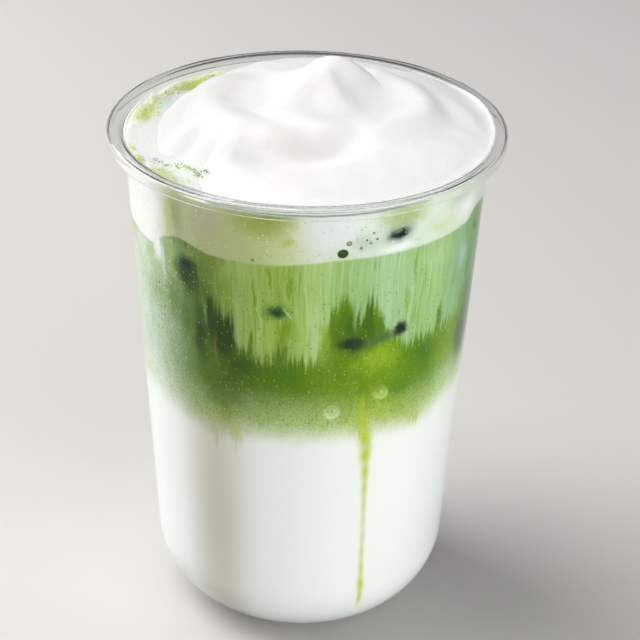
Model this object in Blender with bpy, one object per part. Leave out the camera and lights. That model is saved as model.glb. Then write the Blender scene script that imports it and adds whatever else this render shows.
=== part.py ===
"""An iced matcha latte in a clear plastic cup: milk below, matcha above it, a froth and a swirl of cream on top.

Metres, +Z up. The origin is the middle of the cup's foot, and -Y is the side with the long green streak.
Turns round the cup are in degrees from that side, positive towards +X.
"""

from collections import namedtuple

import bmesh
import bpy
import numpy as np

# Cup
CUP_HEIGHT = 0.130
WALL_THICKNESS = 0.0007
CONE_RADIUS_AT_FOOT = 0.0359
CONE_RADIUS_AT_RIM = 0.0437
CORNER_RADIUS = 0.0198
PUSH_UP_RADIUS = 0.0132
PUSH_UP_HEIGHT = 0.0019
PUSH_UP_SLOPE = 0.0014
RIM_RADIUS = 0.0475
RIM_HEIGHT = 0.0029
RIM_SECTION_WIDTH = 0.0041
RIM_EDGE_RADIUS = 0.0009
RIM_LIP_RADIUS = 0.0020

# Contents
CLEARANCE = 0.0003
FROTH_LEVEL = 0.1266
SEGMENTS = 64
CORNER_STEPS = 7
LAYER_RINGS = 4
CREAM_RINGS = 23

# Turn and height of the places where one layer meets the next on the wall
MILK_TOP = (
    (-180, 0.0705), (-110, 0.0690), (-60, 0.0705), (-45, 0.0695), (-30, 0.0685), (-16, 0.0700),
    (8, 0.0700), (28, 0.0695), (42, 0.0680), (56, 0.0710), (75, 0.0720), (130, 0.0695), (180, 0.0705),
)
MILK_TOP_MIDDLE = 0.0700
FROTH_FOOT = (
    (-180, 0.1155), (-110, 0.1115), (-78, 0.1098), (-58, 0.1092), (-50, 0.1130), (-42, 0.1146),
    (-30, 0.1131), (-10, 0.1134), (0, 0.1142), (12, 0.1150), (60, 0.1149), (68, 0.1172), (78, 0.1164),
    (120, 0.1150), (180, 0.1155),
)
FROTH_FOOT_MIDDLE = 0.1150

# Cream
CREAM_FOOT = FROTH_LEVEL + CLEARANCE
CREAM_FOOT_RADIUS_SHARE = 0.985
CREAM_MIDDLE = 0.1356
CREAM_AT_WALL = 0.1296
CREAM_REACH = 0.0439
CREAM_ROUNDNESS = 2.6
SHOULDER_WIDTH = 0.0045
SHORE_WIDTH = 0.009
SHORE_SOFTNESS = 0.85
SUMMIT = (0.0056, 0.0088)
# Turn, radius, height and gentleness of the cream's edge: it pulls back from the wall between -150
# and -30 degrees, and runs out gently there
CREAM_EDGE = (
    (-180, 0.0437, 0.1292, 0.2), (-163, 0.0433, 0.1280, 0.6), (-150, 0.0424, 0.1272, 1.0),
    (-138, 0.0400, 0.1271, 1.0), (-106, 0.0373, 0.1271, 1.0), (-88, 0.0358, 0.1271, 0.9),
    (-72, 0.0364, 0.1271, 0.9), (-60, 0.0338, 0.1271, 1.0), (-48, 0.0334, 0.1271, 1.0),
    (-40, 0.0376, 0.1272, 1.0), (-30, 0.0428, 0.1280, 0.7), (-18, 0.0438, 0.1292, 0.2),
    (0, 0.0439, 0.1296, 0.0), (60, 0.0439, 0.1298, 0.0), (110, 0.0441, 0.1303, 0.0),
    (134, 0.0438, 0.1296, 0.0), (150, 0.0435, 0.1288, 0.1), (180, 0.0437, 0.1292, 0.2),
)

# A ridge or, with a rise below zero, a furrow that runs round part of a circle. Its turns are in
# degrees from +X towards +Y, and the widths are those of its inner and outer sides.
Arc = namedtuple("Arc", "middle radius first last fade rise inner outer")
SWIRL = (
    Arc((0.0092, 0.0020), 0.0190, -152, 92, 34, 0.0022, 0.0055, 0.0029),
    Arc((0.0000, 0.0030), 0.0232, 128, 278, 34, 0.0018, 0.0055, 0.0055),
    Arc((-0.0030, -0.0080), 0.0178, -152, -12, 48, -0.0026, 0.0036, 0.0046),
    Arc((-0.0060, -0.0100), 0.0400, 4, 68, 16, -0.0018, 0.0028, 0.0026),
    Arc((-0.0060, -0.0100), 0.0453, 0, 56, 18, 0.0009, 0.0034, 0.0034),
)
# A fold of the peak along a bent line, with a side that falls off on the line's left and one on its right
Fold = namedtuple("Fold", "start bend end rise_start rise_bend rise_end left right")
PEAK = (
    Fold((-0.0015, 0.0125), (0.0066, 0.0078), (0.0145, 0.0140), 0.0026, 0.0124, 0.0020, 0.0060, 0.0046),
    Fold((0.0040, 0.0095), (0.0042, -0.0025), (0.0110, -0.0100), 0.0064, 0.0038, 0.0004, 0.0034, 0.0070),
    Fold((0.0025, 0.0080), (-0.0030, -0.0035), (-0.0110, -0.0110), 0.0056, 0.0034, 0.0005, 0.0060, 0.0036),
)
FOLD_STEPS = 16
PEAK_SHARPNESS = 1200.0
SWIRL_FADE_AT_EDGE = 0.004

SHARP_ANGLE = np.radians(50)


def between(marks, turns, column=1):
    """Values that pass smoothly from each mark to the next; marks run from -180 to 180 degrees."""
    marks = np.array(marks)
    turns = (np.asarray(turns, float) + 180) % 360 - 180
    last = len(marks) - 2
    before = np.clip(np.searchsorted(marks[:, 0], turns, side="right") - 1, 0, last)
    share = (turns - marks[before, 0]) / (marks[before + 1, 0] - marks[before, 0])
    share = share * share * (3 - 2 * share)
    low = marks[before, column]
    return low + (marks[before + 1, column] - low) * share


def smooth_step(value):
    """Zero below 0, one above 1 and a smooth passage between them."""
    value = np.clip(value, 0, 1)
    return value * value * (3 - 2 * value)


def segment_turns():
    """The turn of every corner of a ring, in degrees."""
    return np.arange(SEGMENTS) * 360 / SEGMENTS - 180


def ring(radius, height):
    """Corners of one ring round the cup's axis. Radius and height may differ from turn to turn."""
    turns = np.radians(segment_turns())
    radius = np.broadcast_to(radius, turns.shape)
    height = np.broadcast_to(height, turns.shape)
    return np.stack([radius * np.sin(turns), -radius * np.cos(turns), height], axis=1)


def cone_radius(height):
    """Radius of the cup's outside where the wall is straight."""
    slope = (CONE_RADIUS_AT_RIM - CONE_RADIUS_AT_FOOT) / CUP_HEIGHT
    return CONE_RADIUS_AT_FOOT + slope * height


def wall_lean():
    """Angle between the straight wall and the cup's axis."""
    return np.arctan2(CONE_RADIUS_AT_RIM - CONE_RADIUS_AT_FOOT, CUP_HEIGHT)


def bowl_profile(inset, top):
    """Radius and height along the foot, the corner and the wall, a distance inside the cup's outside."""
    lean = wall_lean()
    middle = CONE_RADIUS_AT_FOOT + CORNER_RADIUS * np.tan(lean) - CORNER_RADIUS / np.cos(lean)
    push_up = PUSH_UP_HEIGHT + inset
    profile = [(0.0, push_up), (PUSH_UP_RADIUS - 0.3 * inset, push_up)]
    profile.append((PUSH_UP_RADIUS + PUSH_UP_SLOPE + 0.5 * inset, inset))
    for angle in np.linspace(0, np.pi / 2 - lean, CORNER_STEPS + 1):
        reach = CORNER_RADIUS - inset
        profile.append((middle + reach * np.sin(angle), CORNER_RADIUS - reach * np.cos(angle)))
    profile.append((cone_radius(top) - inset / np.cos(lean), top))
    return profile


def quarter(middle, radius, first, last, steps):
    """Points of an arc in the plane of a profile, at angles in degrees from the outward direction."""
    angles = np.radians(np.linspace(first, last, steps + 1))
    return [(middle[0] + radius * np.cos(a), middle[1] + radius * np.sin(a)) for a in angles]


def rim_profile():
    """The rolled rim, from its underside at the wall over the top to the lip inside."""
    foot = CUP_HEIGHT - RIM_HEIGHT
    outside = RIM_RADIUS - RIM_EDGE_RADIUS
    lip = RIM_RADIUS - RIM_SECTION_WIDTH + RIM_LIP_RADIUS
    profile = quarter((outside, foot + RIM_EDGE_RADIUS), RIM_EDGE_RADIUS, -90, 0, 2)
    profile += quarter((outside, CUP_HEIGHT - RIM_EDGE_RADIUS), RIM_EDGE_RADIUS, 0, 90, 3)
    profile += quarter((lip, CUP_HEIGHT - RIM_LIP_RADIUS), RIM_LIP_RADIUS, 90, 165, 4)
    return profile


def closed_body(name, rings, material):
    """One closed mesh from rings of corners, bottom to top, with a single point at each end."""
    mesh = bpy.data.meshes.new(name)
    shape = bmesh.new()
    levels = [[shape.verts.new(point) for point in level] for level in rings]
    for lower, upper in zip(levels[:-1], levels[1:]):
        for i in range(SEGMENTS):
            after = (i + 1) % SEGMENTS
            if len(lower) == 1:
                shape.faces.new((lower[0], upper[after], upper[i]))
            elif len(upper) == 1:
                shape.faces.new((lower[i], lower[after], upper[0]))
            else:
                shape.faces.new((lower[i], lower[after], upper[after], upper[i]))
    bmesh.ops.triangulate(shape, faces=shape.faces, quad_method="SHORT_EDGE")
    bmesh.ops.recalc_face_normals(shape, faces=shape.faces)
    shape.to_mesh(mesh)
    shape.free()
    mesh.shade_smooth()
    mesh.set_sharp_from_angle(angle=SHARP_ANGLE)
    mesh.materials.append(material)
    body = bpy.data.objects.new(name, mesh)
    bpy.context.collection.objects.link(body)
    return body


def turned(profile):
    """Rings for a profile of radius and height, with the axis points kept single."""
    return [[(0.0, 0.0, h)] if r == 0 else ring(r, h) for r, h in profile]


def surface(name, colour, roughness, transmission=0.0, subsurface=0.0):
    """A plain material; the colour is linear red, green and blue."""
    material = bpy.data.materials.new(name)
    material.use_nodes = True
    shader = material.node_tree.nodes["Principled BSDF"]
    shader.inputs["Base Color"].default_value = (*colour, 1.0)
    shader.inputs["Roughness"].default_value = roughness
    shader.inputs["Metallic"].default_value = 0.0
    shader.inputs["Transmission Weight"].default_value = transmission
    shader.inputs["Subsurface Weight"].default_value = subsurface
    return material


def make_cup():
    """The clear cup: a pushed-up foot, a large round corner, a plain cone and a rolled rim."""
    wall_top = CUP_HEIGHT - RIM_HEIGHT
    outside = bowl_profile(0.0, wall_top)
    inside = bowl_profile(WALL_THICKNESS, wall_top - WALL_THICKNESS)
    profile = outside + rim_profile() + inside[::-1]
    return closed_body("cup", turned(profile), surface("clear_pet", (0.94, 0.96, 0.96), 0.05, 1.0))


def layer_surface(marks, middle, radius, shift):
    """Rings of a surface between two layers: wavy at the wall and level at the axis."""
    at_wall = between(marks, segment_turns())
    rings = []
    for step in range(LAYER_RINGS, 0, -1):
        share = step / LAYER_RINGS
        height = middle + (at_wall - middle) * share**3 + shift
        rings.append(ring((cone_radius(at_wall) - radius) * share, height))
    rings.append([(0.0, 0.0, middle + shift)])
    return rings


def wall_inset():
    """Distance from the cup's outside to the contents, measured level."""
    return (WALL_THICKNESS + CLEARANCE) / np.cos(wall_lean())


def make_milk():
    """The white lower part, which fills the foot of the cup."""
    bottom = bowl_profile(WALL_THICKNESS + CLEARANCE, 0.5 * MILK_TOP_MIDDLE)
    rings = turned(bottom) + layer_surface(MILK_TOP, MILK_TOP_MIDDLE, wall_inset(), -CLEARANCE / 2)
    return closed_body("milk", rings, surface("cold_milk", (0.86, 0.88, 0.87), 0.25, 0.0, 0.2))


def make_matcha():
    """The green middle part, from the milk up to the froth."""
    bottom = layer_surface(MILK_TOP, MILK_TOP_MIDDLE, wall_inset(), CLEARANCE / 2)
    top = layer_surface(FROTH_FOOT, FROTH_FOOT_MIDDLE, wall_inset(), -CLEARANCE / 2)
    return closed_body("matcha", bottom[::-1] + top, surface("green_tea", (0.12, 0.27, 0.02), 0.2, 0.0, 0.1))


def make_froth():
    """The pale green froth, level on top and in contact with the wall all round."""
    bottom = layer_surface(FROTH_FOOT, FROTH_FOOT_MIDDLE, wall_inset(), CLEARANCE / 2)
    top = [ring(cone_radius(FROTH_LEVEL) - wall_inset(), FROTH_LEVEL), [(0.0, 0.0, FROTH_LEVEL)]]
    return closed_body("froth", bottom[::-1] + top, surface("tea_froth", (0.56, 0.65, 0.33), 0.5, 0.0, 0.2))


def arc_rise(x, y, arc):
    """Height that one arc of the swirl adds at places in plan."""
    across = x - arc.middle[0]
    along = y - arc.middle[1]
    offset = np.hypot(across, along) - arc.radius
    width = np.where(offset < 0, arc.inner, arc.outer)
    turn = (np.degrees(np.arctan2(along, across)) - arc.first) % 360
    span = arc.last - arc.first
    share = smooth_step(turn / arc.fade) * smooth_step((span - turn) / arc.fade)
    return arc.rise * share * np.exp(-((offset / width) ** 2))


def fold_rise(x, y, fold):
    """Height that one fold of the peak adds: the nearest point of its bent line decides it."""
    t = np.linspace(0, 1, FOLD_STEPS)[:, None]
    marks = np.array([(*fold.start, fold.rise_start), (*fold.bend, fold.rise_bend), (*fold.end, fold.rise_end)])
    line = (1 - t) ** 2 * marks[0] + 2 * t * (1 - t) * marks[1] + t**2 * marks[2]
    way = np.gradient(line[:, :2], axis=0)
    way /= np.linalg.norm(way, axis=1, keepdims=True)
    dx = x[..., None] - line[:, 0]
    dy = y[..., None] - line[:, 1]
    near = (dx**2 + dy**2).argmin(-1)
    dx = np.take_along_axis(dx, near[..., None], -1)[..., 0]
    dy = np.take_along_axis(dy, near[..., None], -1)[..., 0]
    side = way[near, 0] * dy - way[near, 1] * dx
    lean = np.clip(side / (0.5 * fold.left), -1, 1)
    width = 0.5 * (fold.left + fold.right) + 0.5 * (fold.left - fold.right) * lean
    return line[near, 2] * np.exp(-(dx**2 + dy**2) / width**2)


def cream_height(x, y):
    """Height of the cream's top at places in plan: a dome, its rounded edge, the swirl and the peak."""
    radius = np.hypot(x, y)
    turn = np.degrees(np.arctan2(x, -y))
    reach = between(CREAM_EDGE, turn, 1)
    edge = between(CREAM_EDGE, turn, 2)
    fall = (CREAM_MIDDLE - CREAM_AT_WALL) * np.clip(radius / CREAM_REACH, 0, 1) ** CREAM_ROUNDNESS
    dome = CREAM_MIDDLE - fall
    gentle = between(CREAM_EDGE, turn, 3)
    inland = np.clip((reach - radius) / (SHOULDER_WIDTH + SHORE_WIDTH * gentle), 0, 1)
    shoulder = 1 - np.sqrt(1 - (1 - inland) ** 2)
    rounding = shoulder + (1 - smooth_step(inland) - shoulder) * gentle * SHORE_SOFTNESS
    peak = sum(np.exp(PEAK_SHARPNESS * fold_rise(x, y, fold)) for fold in PEAK)
    peak = np.log(peak - (len(PEAK) - 1)) / PEAK_SHARPNESS
    swirl = sum(arc_rise(x, y, arc) for arc in SWIRL)
    swirl = swirl * np.clip((reach - radius) / SWIRL_FADE_AT_EDGE, 0, 1)
    return dome - (dome - edge) * np.clip(radius / reach, 0, 1) ** 3 * rounding + swirl + peak


def make_cream():
    """The soft cream: a level underside and a swirled top, its rings gathered on the peak."""
    turns = segment_turns()
    reach = between(CREAM_EDGE, turns, 1)
    wall = cone_radius(CREAM_FOOT) - wall_inset()
    foot = np.minimum(reach * CREAM_FOOT_RADIUS_SHARE, wall)
    rings = [[(0.0, 0.0, CREAM_FOOT)], ring(foot, CREAM_FOOT)]
    summit = np.array([(*SUMMIT, 0.0)])
    edge = ring(reach, 0.0)
    for step in range(CREAM_RINGS, -1, -1):
        level = summit + (edge - summit) * step / CREAM_RINGS
        level = level[:1] if step == 0 else level
        level[:, 2] = cream_height(level[:, 0], level[:, 1])
        rings.append(level)
    return closed_body("cream", rings, surface("whipped_cream", (0.91, 0.90, 0.88), 0.6, 0.0, 0.3))


for old in list(bpy.data.objects):
    bpy.data.objects.remove(old)

make_cup()
make_milk()
make_matcha()
make_froth()
make_cream()
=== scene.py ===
"""Dresses the iced matcha latte: clear cup, milk, tea, froth, cream, bubbles and drops of water.

Lengths are metres unless a name or comment says millimetres. Turns round the cup are degrees from the side
that faces the camera (-Y), positive towards +X.
"""

import logging
from dataclasses import dataclass, field
from enum import Enum
from math import atan2, cos, pi, radians, sin, tan

import bmesh
import bpy
import numpy as np
from mathutils import Matrix, Vector, noise


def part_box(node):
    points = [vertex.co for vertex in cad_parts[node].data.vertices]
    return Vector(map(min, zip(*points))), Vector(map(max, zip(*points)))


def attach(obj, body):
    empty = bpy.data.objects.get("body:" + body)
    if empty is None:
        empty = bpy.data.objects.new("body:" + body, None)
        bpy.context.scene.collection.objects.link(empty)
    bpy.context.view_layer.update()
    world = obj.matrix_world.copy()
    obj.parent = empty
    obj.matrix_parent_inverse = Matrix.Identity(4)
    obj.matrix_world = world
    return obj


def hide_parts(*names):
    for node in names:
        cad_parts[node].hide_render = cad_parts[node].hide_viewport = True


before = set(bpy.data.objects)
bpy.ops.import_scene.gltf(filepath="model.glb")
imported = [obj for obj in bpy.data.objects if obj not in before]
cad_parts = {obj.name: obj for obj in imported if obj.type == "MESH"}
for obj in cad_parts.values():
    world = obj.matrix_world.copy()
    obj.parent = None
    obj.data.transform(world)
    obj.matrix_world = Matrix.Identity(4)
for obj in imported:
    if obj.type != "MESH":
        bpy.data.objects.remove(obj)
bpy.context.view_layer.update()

log = logging.getLogger("matcha_latte")

Marks = tuple[tuple[float, ...], ...]
Colour = tuple[float, float, float, float]
Profile = list[tuple[float, float]]
Owner = bpy.types.Material | bpy.types.World

MM = 0.001
TO_MM = 1000.0
BODY = "root"
SEGMENTS = 256
BEND_STEPS = 9
SHARP_ANGLE = radians(42)
# The patterns are drawn on a chart of the wall: this radius turns a turn into a length round it
CHART_RADIUS_MM = 41.0
TALLEST_MM = 130.0
# Noise seldom strays further than a fifth from its middle
NOISE_REACH = 5.0
NOISE_MIDDLE = (0.5, 0.5, 0.5)
# Width and height in millimetres, and the detail, of the broad noise that bends threads
BENDING_NOISE = (9.0, 13.0, 0.0)


def linear(hex_colour: str) -> Colour:
    """Turns an sRGB hex colour to linear light.

    Args:
        hex_colour: The colour as "#RRGGBB".

    Returns:
        Red, green, blue and an alpha of one.
    """
    shares = [int(hex_colour[i:i + 2], 16) / 255 for i in (1, 3, 5)]
    red, green, blue = (s / 12.92 if s <= 0.04045 else ((s + 0.055) / 1.055) ** 2.4 for s in shares)
    return red, green, blue, 1.0


def smooth_step(value: np.ndarray) -> np.ndarray:
    """Gives zero below 0, one above 1 and a smooth passage between them."""
    value = np.clip(value, 0, 1)
    return value * value * (3 - 2 * value)


def between(marks: Marks, turns: np.ndarray, column: int = 1) -> np.ndarray:
    """Passes smoothly from each mark to the next.

    Args:
        marks: Rows that start with a turn, from -180 to 180 degrees.
        turns: The turns to read, in degrees.
        column: The column of the marks to read.

    Returns:
        A value for each turn.
    """
    table = np.array(marks)
    turns = (np.asarray(turns, float) + 180) % 360 - 180
    before = np.clip(np.searchsorted(table[:, 0], turns, side="right") - 1, 0, len(table) - 2)
    share = smooth_step((turns - table[before, 0]) / (table[before + 1, 0] - table[before, 0]))
    low = table[before, column]
    return low + (table[before + 1, column] - low) * share


def around(radius: float | np.ndarray, height: float | np.ndarray, segments: int = SEGMENTS) -> np.ndarray:
    """Gives the corners of one ring round the cup's axis.

    Args:
        radius: One radius, or one for each corner.
        height: One height, or one for each corner.
        segments: How many corners the ring has.

    Returns:
        An array of x, y and z for each corner, counted from the far side.
    """
    turns = np.radians(ring_turns(segments))
    return np.stack([radius * np.sin(turns), -radius * np.cos(turns), height + 0 * turns], axis=1)


def bend(radius: float, height: float, size: float, first: float, last: float) -> Profile:
    """Gives a round bend of a profile.

    Args:
        radius: Distance of the bend's middle from the cup's axis.
        height: Height of its middle.
        size: Its own radius.
        first: The angle where it starts, in degrees from outward to upward.
        last: The angle where it ends.

    Returns:
        Radius and height of each point.
    """
    angles = np.radians(np.linspace(first, last, BEND_STEPS))
    return [(radius + size * cos(a), height + size * sin(a)) for a in angles]


def turned(profile: Profile) -> list[np.ndarray]:
    """Turns a profile round the cup's axis: one ring for each point, or a single point on the axis."""
    return [np.array([(0.0, 0.0, h)]) if r == 0 else around(r, h) for r, h in profile]


def ring_turns(segments: int = SEGMENTS) -> np.ndarray:
    """Gives the turn of each corner of a ring, in degrees."""
    return np.arange(segments) * 360 / segments - 180


def rough(points: np.ndarray, grain: float) -> np.ndarray:
    """Reads smooth noise at some points.

    Args:
        points: Rows of x, y and z.
        grain: The size of the noise's lumps, in metres.

    Returns:
        A value from about -1 to 1 for each point.
    """
    return np.array([noise.noise(Vector(point) / grain) for point in points])


def add_object(name: str, points: np.ndarray, faces: list[tuple[int, ...]]) -> bpy.types.Object:
    """Makes a smooth-shaded mesh object.

    Args:
        name: The piece's name.
        points: Rows of x, y and z.
        faces: The corners of each face, anticlockwise from outside.

    Returns:
        The new object, linked to the scene.
    """
    mesh = bpy.data.meshes.new(name)
    mesh.from_pydata(points.tolist(), [], faces)
    mesh.validate()
    mesh.shade_smooth()
    mesh.set_sharp_from_angle(angle=SHARP_ANGLE)
    piece = bpy.data.objects.new(name, mesh)
    bpy.context.scene.collection.objects.link(piece)
    return piece


def closed_body(name: str, rings: list[np.ndarray]) -> bpy.types.Object:
    """Closes a stack of rings into one body.

    Args:
        name: The piece's name.
        rings: Corners of each ring, from bottom to top; the first and the last hold a single point.

    Returns:
        The new object.
    """
    starts = np.cumsum([0] + [len(level) for level in rings])
    faces: list[tuple[int, ...]] = []
    for low, high, lower, upper in zip(starts, starts[1:], rings, rings[1:]):
        count = max(len(lower), len(upper))
        for i in range(count):
            after = (i + 1) % count
            if len(lower) == 1:
                faces.append((low, high + after, high + i))
            elif len(upper) == 1:
                faces.append((low + i, low + after, high))
            else:
                faces.append((low + i, low + after, high + after, high + i))
    return add_object(name, np.concatenate(rings), faces)


def dress(piece: bpy.types.Object, material: bpy.types.Material, slot: str, *nodes: str) -> None:
    """Gives a piece its material and its place in the frame.

    Args:
        piece: The object to dress.
        material: The finish that it shows.
        slot: A name for the finish's material slot; not used.
        nodes: The CAD nodes that it stands for, if any.
    """
    piece.data.materials.append(material)
    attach(piece, BODY)
    for name in nodes:
        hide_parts(name)
    log.info("%s: %d points", piece.name, len(piece.data.vertices))


class Graph:
    """The node tree of one material, or of the surrounding."""

    def __init__(self, owner: Owner) -> None:
        """Empties a node tree.

        Args:
            owner: The new material or world that the tree belongs to.
        """
        owner.use_nodes = True
        self.owner = owner
        self.tree = owner.node_tree
        self.tree.nodes.clear()

    def node(self, kind: str, inputs: dict | tuple = (), **settings: object) -> bpy.types.Node:
        """Adds a node with its settings and links.

        Args:
            kind: Blender's name of the node, without the leading ShaderNode.
            inputs: What each input takes, by name, or in order: a value, a socket, or a node, which stands
                for its first output.
            settings: Values of the node's own properties.

        Returns:
            The new node.
        """
        made = self.tree.nodes.new("ShaderNode" + kind)
        for name, value in settings.items():
            setattr(made, name, value)
        for key, value in inputs.items() if isinstance(inputs, dict) else enumerate(inputs):
            by_name = (s for s in made.inputs if s.enabled and s.name == key)
            socket = made.inputs[key] if isinstance(key, int) else next(by_name)
            if isinstance(value, bpy.types.Node):
                value = next(s for s in value.outputs if s.enabled)
            if isinstance(value, bpy.types.NodeSocket):
                self.tree.links.new(value, socket)
            else:
                socket.default_value = value
        return made

    def finish(self, shader: bpy.types.Node, output: str = "OutputMaterial") -> Owner:
        """Sends a shader to the output and returns the finished material or world."""
        self.node(output, {"Surface": shader})
        return self.owner


class Edge(Enum):
    """How the outline of a patch is broken up: the noise's grain across and up, then the furthest shifts."""

    CLEAN = (1.0, 1.0, 0.0, 0.0)
    WAVY = (5.0, 5.0, 0.6, 0.6)
    GRAINY = (0.6, 0.6, 0.3, 0.3)
    HAIRY = (0.7, 14.0, 0.25, 2.5)


class Level(Enum):
    """What the chart's second measure is."""

    HEIGHT = "height"
    RADIUS = "radius"


class Coating(Enum):
    """How a coat of colour goes on: it covers what is below, or it shades it."""

    OVER = "MIX"
    SHADE = "MULTIPLY"


Coat = tuple[object, object, Coating]


@dataclass(frozen=True)
class Wash:
    """A patch of colour with a soft edge. Its turn is in degrees and its sizes are in millimetres.

    On the wall its level is a height; on the froth's top it is a distance from the cup's axis.
    """

    turn: float
    level: float
    half_width: float
    half_height: float
    colour: str
    strength: float = 1.0
    softness: float = 1.0
    tilt: float = 0.0
    edge: Edge = Edge.GRAINY


def brushed(edge: Edge, *rows: tuple[float | str, ...]) -> tuple[Wash, ...]:
    """Makes patches that share one kind of edge; each row holds a patch's other measures, in order."""
    return tuple(Wash(*row, edge=edge) for row in rows)


@dataclass(frozen=True)
class Mottle:
    """Lumps of another shade: their width and height in millimetres, and how much of the noise shows."""

    wide: float
    tall: float
    finer: float
    low: float
    high: float
    strength: float = 1.0
    bend: float = 0.0


@dataclass(frozen=True)
class Specks:
    """Round dots of many sizes over a patch, which also gives their colour.

    Their spacing and the radius of the largest are in millimetres; a share of the places stays empty.
    """

    spacing: float
    largest: float
    empty: float
    patch: Wash


class Chart:
    """Places on the drink in millimetres, as its materials read them."""

    def __init__(self, graph: Graph, level: Level) -> None:
        """Works out the turn, the level and the places shifted by soft and by fine noise.

        Args:
            graph: The node tree of the material.
            level: What the chart's second measure is.
        """
        self.graph = graph
        place = graph.node("TexCoord").outputs["Object"]
        scaled = graph.node("VectorMath", {"Vector": place, "Scale": TO_MM}, operation="SCALE")
        x, y, z = graph.node("SeparateXYZ", (scaled,)).outputs
        towards = graph.node("Math", (y, -1.0), operation="MULTIPLY")
        angle = graph.node("Math", (x, towards), operation="ARCTAN2")
        flat = graph.node("CombineXYZ", (x, y, 0.0))
        radius = graph.node("VectorMath", (flat,), operation="LENGTH")
        way = graph.node("Math", (angle, CHART_RADIUS_MM), operation="MULTIPLY")
        self.place = graph.node("CombineXYZ", (way, z if level is Level.HEIGHT else radius, 0.0))
        self.share_round = graph.node("MapRange", {"Value": angle, "From Min": -pi, "From Max": pi})
        outward = graph.node("VectorMath", (flat,), operation="NORMALIZE")
        rim = graph.node("VectorMath", {"Vector": outward, "Scale": CHART_RADIUS_MM}, operation="SCALE")
        up = graph.node("CombineXYZ", (0.0, 0.0, z))
        along_wall = graph.node("VectorMath", (rim, up), operation="ADD")
        self.ground = along_wall if level is Level.HEIGHT else scaled
        wavy = self.shifted(self.place, Edge.WAVY)
        self.places = {Edge.CLEAN: self.place, Edge.WAVY: wavy}
        self.places.update({edge: self.shifted(wavy, edge) for edge in (Edge.GRAINY, Edge.HAIRY)})
        self.levels = {
            edge: graph.node("SeparateXYZ", (moved,)).outputs[1] for edge, moved in self.places.items()
        }

    def noise(self, wide: float, tall: float, detail: float = 2.0, bend: float = 0.0) -> bpy.types.Node:
        """Reads noise on the wall.

        Args:
            wide: Width of the noise's lumps in millimetres.
            tall: Their height in millimetres.
            detail: How many finer noises are added.
            bend: How far the lumps are shifted by a broad noise, in millimetres.

        Returns:
            The noise's node.
        """
        ground = self.ground
        if bend:
            broad = self.noise(*BENDING_NOISE).outputs["Color"]
            centred = self.graph.node("VectorMath", (broad, NOISE_MIDDLE), operation="SUBTRACT")
            amount = (NOISE_REACH * bend, NOISE_REACH * bend, 0.0)
            ground = self.graph.node("VectorMath", (centred, amount, ground), operation="MULTIPLY_ADD")
        scale = (1 / wide, 1 / wide, 1 / tall)
        stretched = self.graph.node("VectorMath", (ground, scale), operation="MULTIPLY")
        return self.graph.node("TexNoise", {"Vector": stretched, "Scale": 1.0, "Detail": detail})

    def shifted(self, place: bpy.types.Node, edge: Edge) -> bpy.types.Node:
        """Moves places of the chart by noise, so that outlines read there are broken up.

        Args:
            place: The places.
            edge: The noise's grain and how far it moves them.

        Returns:
            The node that gives the moved places.
        """
        wide, tall, across, up = edge.value
        colours = self.noise(wide, tall).outputs["Color"]
        centred = self.graph.node("VectorMath", (colours, NOISE_MIDDLE), operation="SUBTRACT")
        amount = (NOISE_REACH * across, NOISE_REACH * up, 0.0)
        return self.graph.node("VectorMath", (centred, amount, place), operation="MULTIPLY_ADD")

    def line(self, marks: Marks) -> bpy.types.Node:
        """Gives the height of a line round the wall.

        Args:
            marks: Turn and height in millimetres of the line's bends.

        Returns:
            The node that gives the height at every turn.
        """
        node = self.graph.node("FloatCurve", {"Value": self.share_round})
        curve = node.mapping.curves[0]
        for _ in marks[2:]:
            curve.points.new(0.5, 0.5)
        for point, (turn, height) in zip(curve.points, marks):
            point.location = ((turn + 180) / 360, height / TALLEST_MM)
            point.handle_type = "AUTO_CLAMPED"
        node.mapping.update()
        return self.graph.node("Math", (node, TALLEST_MM), operation="MULTIPLY")

    def colours_round(self, stops: tuple[tuple[float, str], ...]) -> bpy.types.Node:
        """Gives a colour for every turn.

        Args:
            stops: Turn and colour of each place where the colour is known.

        Returns:
            The node that gives the colours.
        """
        node = self.graph.node("ValToRGB", (self.share_round,))
        ramp = node.color_ramp
        for _ in stops[2:]:
            ramp.elements.new(1.0)
        for element, (turn, colour) in zip(ramp.elements, stops):
            element.position = (turn + 180) / 360
            element.color = linear(colour)
        return node

    def above(self, line: bpy.types.Node, low: float, high: float, edge: Edge = Edge.WAVY) -> bpy.types.Node:
        """Tells how far a place is above a line.

        Args:
            line: The line's height.
            low: Distance above the line, in millimetres, where the answer starts to rise from zero.
            high: Distance where it reaches one.
            edge: How the line is broken up.

        Returns:
            The node that gives a share from zero to one.
        """
        over = self.graph.node("Math", (self.levels[edge], line), operation="SUBTRACT")
        edges = {"Value": over, "From Min": low, "From Max": high}
        return self.graph.node("MapRange", edges, interpolation_type="SMOOTHSTEP")

    def mottled(self, mottle: Mottle) -> bpy.types.Node:
        """Tells how strongly the lumps of a noise show at each place.

        Args:
            mottle: The lumps.

        Returns:
            The node that gives a share from zero to the lumps' strength.
        """
        lumps = self.noise(mottle.wide, mottle.tall, mottle.finer, mottle.bend)
        edges = {"Value": lumps, "From Min": mottle.low, "From Max": mottle.high, "To Max": mottle.strength}
        return self.graph.node("MapRange", edges, interpolation_type="SMOOTHSTEP")

    def coated(self, below: object, *coats: Coat) -> bpy.types.Node:
        """Lays coats of colour over one another.

        Args:
            below: The colour under them.
            coats: Colour, share and way of each coat, from the lowest up.

        Returns:
            The node that gives the colour on top.
        """
        for colour, share, way in coats:
            inputs = {"Factor": share, "A": below, "B": colour}
            below = self.graph.node("Mix", inputs, data_type="RGBA", blend_type=way.value)
        return below

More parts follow.
